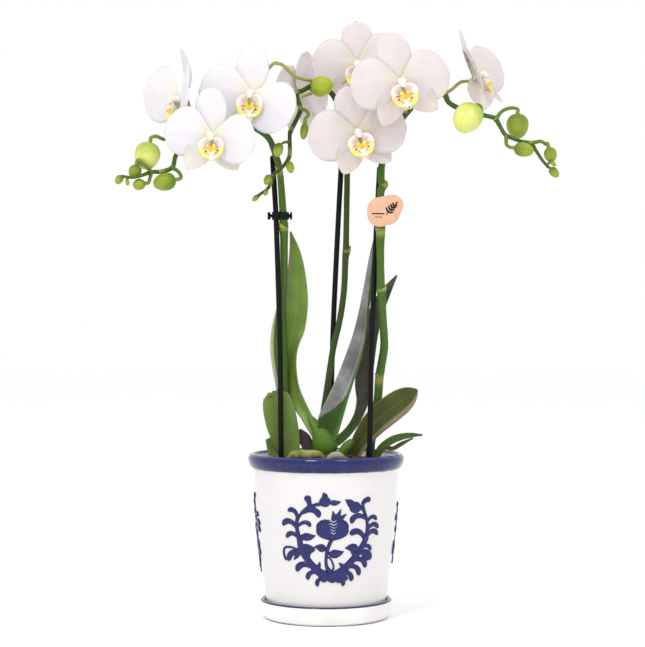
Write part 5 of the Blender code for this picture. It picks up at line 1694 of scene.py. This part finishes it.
@dataclass
class Flower:
    """One moth-orchid flower, laid on the junction, axes and size of its three CAD solids."""

    number: int
    reflex: float = 0.0038
    whorl_gap: float = 1.3
    thickness: float = 0.5

    def __post_init__(self) -> None:
        """Reads where the flower is: both sides of its petals' hub are the points with the most faces."""
        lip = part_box(f"flower_{self.number}_lip")
        mesh = self.mesh_of("petals")
        count: dict[tuple, int] = {}
        for face in mesh.polygons:
            for index in face.vertices:
                spot = tuple(round(c / MM, 3) for c in mesh.vertices[index].co)
                count[spot] = count.get(spot, 0) + 1
        hubs = sorted(count, key=lambda spot: -count[spot])[:2]
        first, second = Vector(hubs[0]), Vector(hubs[1])
        self.lip_middle = (lip[0] + lip[1]) / 2 / MM
        self.spot = (first + second) / 2
        out = (first - second).normalized()
        if out.dot(self.lip_middle - self.spot) < 0:
            out = -out
        up = self.spot - self.lip_middle
        up = (up - out * up.dot(out)).normalized()
        pose = POSES.get(self.number, Pose())
        self.spot += Vector(pose.shift)
        tilt = Matrix.Rotation(radians(-pose.tilt), 3, "X")
        self.axes = Matrix((up.cross(out), up, out)).transposed() @ tilt
        reach = max((v.co / MM - self.spot).length for v in mesh.vertices)
        self.size = reach / PETALS[0].length
        self.random = random.Random(self.number)

    def mesh_of(self, part: str) -> bpy.types.Mesh:
        """The mesh of one of the flower's CAD solids."""
        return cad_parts[f"flower_{self.number}_{part}"].data

    def at(self, x: float, y: float, z: float) -> Vector:
        """A point of the flower's own axes, in millimetres above the floor's origin."""
        return self.spot + self.axes @ (Vector((x, y, z)) * self.size)

    def back(self) -> tuple[Vector, Vector]:
        """Where its stalk ends, and the way it points."""
        return self.at(0, 0, -self.whorl_gap - 0.3), self.axes @ Vector((0, 0, 1))

    def blade(self, skin: Skin, blade: Blade, level: float, lean: float, stretch: float = 1.0,
              twist: float = 0.0,
              bow: float = 0.0, finish: int = 0) -> None:
        """Lays one sepal or petal.

        Args:
            skin: where it goes.
            blade: its outline and curves.
            level: how far its base is in front of the junction.
            lean: how far it leans forward, in degrees.
            stretch: its length, as a share of the outline's.
            twist: how far it turns round its own length, in degrees.
            bow: how fast it curves forward, over the curve that every blade has.
            finish: the finish it wears.
        """
        lean, twist = radians(lean), radians(twist)
        rows, values = [], []
        across_count, along_count = 17, 22
        heading = radians(blade.heading)
        along_way, across_way = Vector((cos(heading), sin(heading))), Vector((-sin(heading), cos(heading)))
        phase = self.random.uniform(0, 6)
        for row in range(along_count + 1):
            s = 0.015 + 0.985 * row / along_count
            swell = self.swell(blade, s)
            line, strip = [], []
            for column in range(across_count):
                t = 2 * column / (across_count - 1) - 1
                half = blade.width / 2 * swell
                reach = blade.length * stretch * (s - 0.05 * t * t * sin(pi * s))
                out = (t + blade.lean * sin(pi * s)) * half
                spot = along_way * reach * cos(lean) + across_way * out * cos(twist * min(1.0, s * 3))
                radius = spot.length
                edge = t * t * min(1.0, s * 2)
                wave = sin(s * 9 + phase) * 0.5 + sin(s * 17 + t * 2 + phase * 2) * 0.3
                lift = level + (bow - self.reflex) * radius * radius
                lift += blade.cup * edge * sin(pi * min(1, s * 1.1))
                lift += blade.ruffle * wave * abs(t) ** 2.2 * s + 0.45 * exp(-(t / 0.14) ** 2) * sin(pi * s)
                line.append(self.at(spot.x, spot.y,
                                    lift + reach * sin(lean) + out * sin(twist * min(1.0, s * 3))))
                strip.append((t, s))
            rows.append(line)
            values.append(strip)
        skin.sheet(rows, self.thickness, values, finish, finish)

    def swell(self, blade: Blade, s: float) -> float:
        """The blade's width at a share of its length, from its claw to its blunt tip."""
        if s < blade.widest:
            x = s / blade.widest
            return blade.claw + (1 - blade.claw) * sin(x * pi / 2) ** (1.15 if blade.claw < 0.2 else 0.9)
        x = (s - blade.widest) / (1 - blade.widest)
        return max(0.02, (1 - x ** 2.3) ** blade.blunt)

    def make_whorls(self) -> None:
        """The three sepals and, in front of them, the two petals."""
        pose = POSES.get(self.number, Pose())
        sepals = Skin()
        self.blade(sepals, SEPALS[0], -self.whorl_gap, pose.upper, pose.stretch, bow=pose.bow, finish=1)
        for blade, lean, twist, splay in zip(SEPALS[1:], pose.sepals, pose.twists,
                                             (pose.splay[0], -pose.splay[1])):
            self.blade(sepals, replace(blade, heading=blade.heading + splay), -self.whorl_gap, lean,
                       twist=twist)
        petals = Skin()
        for blade, lean, droop in zip(PETALS, pose.petals, (-pose.droop[0], pose.droop[1])):
            shape = replace(blade, heading=blade.heading + droop, length=blade.length * pose.spread,
                            width=blade.width * pose.spread)
            self.blade(petals, shape, 0.35, lean)
        name, node = f"orchid_{self.number}_", f"flower_{self.number}_"
        petal, sepal = (COOL_PETAL, COOL_SEPAL) if pose.cool else (WARM_PETAL, WARM_SEPAL)
        sepals.build(name + "sepals", [sepal, petal], "petal_white", [node + "sepals"])
        petals.build(name + "petals", [petal], "petal_white", [node + "petals"])

    def make_lip(self) -> None:
        """The lip: two cupped wings, a tongue with curled tendrils, a callus, and the column over it."""
        skin = Skin()
        for side in (1, -1):
            self.wing(skin, side)
            self.tendril(skin, side)
        self.tongue(skin)
        self.callus(skin)
        column = [(0, 0.2, -0.8, 2.0), (0, 0.2, 2.0, 2.2), (0, -0.1, 4.6, 2.5), (0, -0.9, 7.0, 2.7),
                  (0, -2.6, 8.4, 2.0)]
        rows = [(*self.at(x, y, z), r * self.size) for x, y, z, r in smooth_rows(column, 5)]
        skin.tube(rows, 18, finish=3)
        finishes = [LipFinish(part) for part in (LipPart.WING, LipPart.TONGUE, LipPart.CALLUS,
                                                 LipPart.COLUMN)]
        skin.build(f"orchid_{self.number}_lip", finishes, "lip_gold", [f"flower_{self.number}_lip"])

    def wing(self, skin: Skin, side: int) -> None:
        """One side lobe, half of a cup that opens forward under the column."""
        rows, values = [], []
        for row in range(21):
            s = row / 20
            angle = radians(-84 + 158 * s)
            margin = 0.80 + 0.20 * sin(pi * s) + 0.05 * sin(s * 11)
            line, strip = [], []
            for column in range(13):
                t = column / 12
                radius = 1.6 + 7.0 * t ** 0.85 * margin
                forward = 2.4 + 7.4 * t ** 1.5 - 2.2 * t ** 4 + 0.25 * sin(s * 23) * t
                line.append(self.at(side * radius * cos(angle) * 1.04, -8.8 + radius * sin(angle) * 1.06,
                                    forward))
                strip.append((2 * t - 1, s))
            rows.append(line)
            values.append(strip)
        skin.sheet(rows, 0.6, values, 0, 0, 0.6)

    def tongue(self, skin: Skin) -> None:
        """The middle lobe: a short arrowhead that hangs forward out of the cup."""
        rows, values = [], []
        for row in range(19):
            s = row / 18
            width = 4.4 + 4.2 * exp(-((s - 0.35) / 0.20) ** 2) - 3.6 * s
            line, strip = [], []
            for column in range(13):
                t = 2 * column / 12 - 1
                forward = 4.6 + 5.4 * s - 3.2 * s * s + 1.3 * abs(t) ** 1.5 * (1 - s)
                forward += 0.6 * exp(-(t / 0.2) ** 2) * (1 - s)
                line.append(self.at(t * max(width, 0.7) / 2, -8.6 - 9.6 * s + 1.2 * t * t * sin(pi * s),
                                    forward))
                strip.append((t, s))
            rows.append(line)
            values.append(strip)
        skin.sheet(rows, 0.8, values, 1, 1)

    def tendril(self, skin: Skin, side: int) -> None:
        """One of the two thin tendrils that curl back from the tongue's tip."""
        rows = []
        for step in range(15):
            t = step / 14
            turn = t * 3.4
            x = side * (0.4 + 2.4 * sin(turn) * t ** 0.5)
            rows.append((*self.at(x, -17.8 - 1.1 * sin(turn * 0.8) + 3.0 * t * t,
                                  6.8 + 1.6 * t - 1.2 * t * t),
                         (0.40 - 0.20 * t) * self.size))
        skin.tube(rows, 8, finish=1)

    def callus(self, skin: Skin) -> None:
        """The two-knobbed callus where wings and tongue meet."""
        for side in (1, -1):
            rows = [(*self.at(side * (1.0 + 1.2 * t), -11.0 + 3.2 * t, 4.2 + 4.4 * t),
                     (2.0 - 0.7 * t) * self.size)
                    for t in (0, 0.35, 0.7, 1.0)]
            skin.tube(smooth_rows(rows, 3), 12, finish=2, rough=0.15)


# ------------------------------------------------------------------ leaves and crown

@dataclass(frozen=True)
class Leaf:
    """A leaf: stations (across, deep, up, width, turn), its fold, and the finishes of its two sides."""

    stations: Sequence[Row]
    fold: float
    front: LeafFinish
    back: LeafFinish
    notch: float = 0.0
    curl: float = 0.0
    flesh: float = 0.0  # how much thicker its foot is


LEAVES: dict[str, Leaf] = {
    "leaf_strap_left": Leaf([
        (-3.4, -1.5, 9.0, 9.5, 5), (-6.8, -1.6, 14.2, 8.4, 0), (-10.6, 0.0, 19.4, 7.4, -6),
        (-14, 2.4, 25.8, 8.2, -15), (-18.2, 5, 33.5, 10, -32), (-21.5, 7.4, 43, 11.8, -50),
        (-23.4, 9, 54, 12.4, -52), (-24.4, 10.4, 66, 13, -47), (-24.0, 11.5, 77, 14, -32),
        (-22.2, 12.5, 90, 15.8, 0), (-20.9, 12.5, 107, 16.4, 0), (-21, 13, 127, 12.4, 0),
        (-22.2, 12.5, 142, 7.4, 0), (-25.2, 12, 155.5, 0.8, 0)], 1.6, LIGHT_LEAF, DARK_LEAF, flesh=3.6),
    "leaf_strap_right": Leaf([
        (0.6, -2.6, 9.0, 10.5, 8), (1.2, -3.4, 15.5, 14.0, 6), (2.2, -4.0, 22, 16.4, 2),
        (5.4, -4.0, 30, 15.6, -6), (10.0, -3.4, 41, 14.2, -16), (14.6, -2.4, 51.5, 14.6, -30),
        (20.0, -1, 66, 15.6, -40), (24.0, -0.5, 80, 14.4, -45), (27.4, 0.5, 98, 11.6, -52),
        (30.3, 2.5, 118, 8.6, -57), (32.2, 4, 135, 5.6, -60), (34.0, 4.6, 151, 0.8, -60)],
        2.6, GREY_SHEEN_UNDER, DARK_LEAF, curl=1.2, flesh=2.0),
    "leaf_keeled_back": Leaf([
        (3.0, 1.0, 6.4, 7, 0), (8.6, 2.4, 9.0, 6.4, 0), (13.6, 4.0, 12.8, 6, -4), (19.2, 6.5, 19.4, 6, -10),
        (23.6, 8.5, 27.4, 7, -14), (26.2, 10.5, 36.5, 9.6, -18), (26.9, 12, 48, 13.4, -20),
        (28.6, 13, 64, 13.6, -22), (31.4, 14, 82, 12.6, -22), (35.4, 14, 98, 10.4, -14),
        (41.8, 13, 112, 7.4, 0), (50, 12, 124.5, 0.8, 0)],
        1.5, SHADED_UNDER, DARK_LEAF, curl=0.8, flesh=3.4),
    "leaf_broad_left": Leaf([
        (-24.5, 4.6, -2.6, 12, 0), (-27, 4.6, 6, 18, 0), (-30, 4, 16.5, 21.5, 0), (-32.5, 3.6, 27, 22.4, 0),
        (-34, 3.4, 34, 21, 0), (-35, 3.2, 40, 17.5, 0),
        (-36.4, 3, 44.5, 9, 0)], 0.8, MID_LEAF, DARK_LEAF, notch=1.0),
    "leaf_upright_left": Leaf([
        (-25.4, 19, -3.6, 6, 0), (-28, 19, 20, 8, 0), (-31, 18.5, 46, 9.5, 0), (-33, 18, 61, 11, 0),
        (-34, 17.5, 74, 11.5, 0), (-34.2, 17, 88, 8.5, 0),
        (-34.6, 16.5, 102, 0.8, 0)], 1.2, PALE_EDGE_LEAF, DARK_LEAF),
    "leaf_broad_right": Leaf([
        (18.6, -0.5, -2.4, 8, 0), (25.0, -2, 9.5, 13.4, 0), (33.4, -3.5, 20.6, 17.5, 0),
        (42.6, -4.5, 29.0, 19, 0), (51.6, -6, 35.9, 18.0, 0), (57.4, -7.2, 40.2, 14.0, 0),
        (61.4, -7.8, 43.0, 7.4, 0), (63.4, -8, 44.4, 0.8, 0)],
        2.0, OLIVE_UNDER, DARK_LEAF),
    "leaf_narrow_right": Leaf([
        (33.6, -7.5, -3.9, 3.0, 0), (37.5, -8.6, 3.4, 4.6, 0), (44, -9.4, 8.6, 5.2, 0),
        (51, -9.8, 11.6, 4.8, 0), (59, -9.8, 13.0, 3.4, 0),
        (67, -9.6, 13, 0.8, 0)], 1.0, DARK_LEAF, OLIVE_UNDER),
    "leaf_curl_right": Leaf([
        (35.8, 0, -4.0, 2.4, 0), (40.5, 1.5, 3.2, 3, 0), (47, 2, 3.0, 3, 0), (53.6, 2, 6.6, 2.8, 0),
        (61, 2, 10.2, 0.8, 0)],
        0.4, OLIVE_UNDER, PURPLE_UNDER),
    "leaf_stub_left": Leaf([(-35.6, 9, -4.9, 7.0, 0), (-37.4, 9.4, 2.6, 8.6, 0), (-40.6, 10, 9.6, 5, 0)], 0.5,
                           LIGHT_LEAF, DARK_LEAF),
    "leaf_dark_back": Leaf([(-11.8, 8.4, -2.0, 6, 0), (-13.2, 8.4, 5, 8.5, 0), (-16, 8.4, 11, 8, 0),
                            (-18.6, 8.4, 16, 1.5, 0)],
                           0.8, PURPLE_UNDER, PURPLE_UNDER),
}


@dataclass
class Foliage:
    """The leaves, the swollen crown and the young shoot."""

    rim: float
    thickness: float = 1.25
    crown: list[Row] = field(default_factory=lambda: [
        (-0.7, 0, -2.6, 5.0), (-0.5, -0.4, 1.5, 7.6), (-0.7, -0.4, 6, 8.6), (-1.8, -0.6, 11, 7.7),
        (-4.3, -0.3, 16, 6.0), (-7.6, 0.6, 20.6, 4.3), (-10.8, 2.0, 25, 2.2), (-13.4, 3.6, 29, 0.8)])
    stub: list[Row] = field(default_factory=lambda: [(10, -8.2, -2.3, 2.6), (12, -8.2, 1.9, 3.3),
                                                     (14.6, -8.2, 5.4, 3.2), (17.4, -8, 8.4, 2.3)])

    def make_leaf(self, name: str, leaf: Leaf) -> None:
        """Lofts one strap leaf with a crease, soft waves and a thin margin."""
        stations = lifted(leaf.stations, self.rim)
        rows = smooth_rows(stations, 6)
        last = len(rows) - 1
        columns = 15
        sheet, values = [], []
        for index, (across, deep, up, width, turn) in enumerate(rows):
            before, after = rows[max(index - 1, 0)], rows[min(index + 1, last)]
            along = (Vector(after[:3]) - Vector(before[:3])).normalized()
            face = Matrix.Rotation(radians(turn), 3, "Z") @ Vector((0, -1, 0))
            side = along.cross(face).normalized()
            face = side.cross(along).normalized()
            share = index / last
            line = []
            for column in range(columns):
                t = 2 * column / (columns - 1) - 1
                rise = leaf.fold * (abs(t) ** 1.3 - 0.5) * min(1.0, width / 10)
                wave = 0.35 * sin(share * 11 + t * 2) * abs(t) ** 2
                rise += wave + leaf.curl * max(0.0, t - 0.55) ** 2 * 9 * min(1.0, width / 10)
                spot = Vector((across, deep, up)) + side * width / 2 * t + face * rise
                if leaf.notch and share > 0.8:
                    bite = leaf.notch * (share - 0.8) / 0.2
                    spot.z -= bite * (1.6 + 1.5 * sin(t * 7.0) + 1.4 * max(0.0, 0.5 - abs(t + 0.55)) * 4)
                line.append(spot)
            sheet.append(line)
            values.append([(2 * c / (columns - 1) - 1, share) for c in range(columns)])
        skin = Skin()
        flesh = [self.thickness + leaf.flesh * exp(-(i / last / 0.11) ** 2) for i in range(last + 1)]
        skin.sheet(sheet, flesh, values, 0, 1, 0.3)
        skin.build(name.replace("leaf", "orchid_leaf"), [leaf.front, leaf.back], "leaf_green", [name])

    def make_crown(self) -> None:
        """The crown: two swollen sheaths that wrap it, with a groove between them."""
        skin = Skin()
        rows = smooth_rows(lifted(self.crown, self.rim), 5)
        rings, strips = [], []
        last = len(rows) - 1
        for index, (x, y, z, radius) in enumerate(rows):
            ring, values = [], []
            for side in range(36):
                angle = 2 * pi * side / 36
                front = exp(-((angle - 1.42 * pi) / 0.20) ** 2)
                fold = 1 - 0.05 * front * min(1.0, index / last * 2) + 0.04 * cos(2 * angle)
                ring.append(Vector((x + cos(angle) * radius * fold, y + sin(angle) * radius * fold, z)))
                values.append((cos(angle), index / last, 0.25 * front + 0.30 * (1 - index / last) ** 3))
            rings.append(ring)
            strips.append(values)
        skin.loft(rings, strips)
        skin.build("crown_base", [StemFinish("crown_green", (0.090, 0.190, 0.014), (0.17, 0.27, 0.03))],
                   "leaf_green", ["plant_crown"])
        shoot = Skin()
        shoot.tube(smooth_rows(lifted(self.stub, self.rim), 5), 18, rough=0.06)
        shoot.build("young_shoot", [StemFinish("shoot_green", (0.085, 0.165, 0.020), (0.20, 0.28, 0.06))],
                    "leaf_green", ["shoot_stub"])

    def make(self) -> None:
        """Every leaf, then the crown."""
        for name, leaf in LEAVES.items():
            self.make_leaf(name, leaf)
        self.make_crown()


# ------------------------------------------------------------------ studio

@dataclass
class Studio:
    """Camera at the viewing angle, a pale floor and soft lights."""

    distance: float = 1.25
    eye: float = 0.205
    shift: float = -0.0025
    lens: float = 99.4
    lamp_out: float = 0.80  # how far both lamps stand in front of the pot
    lamp_up: float = 1.16
    lamp_aim: float = 0.12  # height that both look at

    def make_camera(self) -> None:
        """A level camera in front of the pot."""
        data = bpy.data.cameras.new("camera")
        data.lens = self.lens
        data.sensor_width = 36
        camera = bpy.data.objects.new("camera", data)
        camera.location = (self.shift, -self.distance, self.eye)
        camera.rotation_euler = (radians(90), 0, 0)
        bpy.context.scene.collection.objects.link(camera)
        bpy.context.scene.camera = camera

    def area(self, name: str, spot: Row, aim: Row, size: float, power: float,
             tint: Colour = (1, 1, 1)) -> None:
        """A square soft light aimed at a point."""
        data = bpy.data.lights.new(name, "AREA")
        data.size = size
        data.energy = power
        data.color = tint
        light = bpy.data.objects.new(name, data)
        light.location = spot
        light.rotation_euler = (Vector(aim) - Vector(spot)).to_track_quat("-Z", "Y").to_euler()
        bpy.context.scene.collection.objects.link(light)

    def make_floor(self) -> None:
        """A wide pale floor, just under the saucer."""
        bpy.ops.mesh.primitive_plane_add(size=12, location=(0, 0, -0.0002))
        floor = bpy.context.object
        floor.name = "studio_floor"
        shader = Shader("studio_floor", 0.9, Specular_IOR_Level=0.1)
        shader.paint(shader.mix(shader.noise(3.0), (0.985, 0.985, 0.985), (1.0, 1.0, 1.0)))
        floor.data.materials.append(shader.material)

    def make(self) -> None:
        """Sets up the whole studio."""
        self.make_camera()
        self.make_floor()
        world = bpy.data.worlds.new("studio")
        world.use_nodes = True
        back = world.node_tree.nodes["Background"]
        back.inputs["Color"].default_value = (1, 1, 1, 1)
        back.inputs["Strength"].default_value = 1.0
        bpy.context.scene.world = world
        self.area("key_light", (-0.42, -self.lamp_out, self.lamp_up), (0, 0, self.lamp_aim), 0.30, 5.2)
        self.area("fill_light", (0.46, -self.lamp_out, self.lamp_up), (0, 0, self.lamp_aim), 0.26, 2.3)
        bpy.context.scene.view_settings.view_transform = "Standard"


def main() -> None:
    """Builds every sub-assembly in order."""
    logging.basicConfig(level=logging.INFO, format="%(message)s")
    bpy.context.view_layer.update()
    Studio().make()
    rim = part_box("pot")[1].z / MM
    pottery = Pottery()
    pottery.make_pot()
    pottery.make_saucer()
    Scrollwork(pottery).make()
    bedding = Bedding(rim)
    bedding.make_bark()
    bedding.make_grow_pot()
    bedding.make_roots()
    supports = Supports(rim)
    supports.make_stakes()
    supports.make_clip()
    supports.make_label()
    flowers = [Flower(number) for number in range(1, FLOWER_COUNT + 1)]
    spikes = Spikes(rim, flower_backs={f"flower_{f.number}": f.back() for f in flowers})
    for name in SPIKES:
        spikes.make_spike(name)
    spikes.make_buds()
    for flower in flowers:
        flower.make_whorls()
        flower.make_lip()
    Foliage(rim).make()


if __name__ == "__main__":
    main()
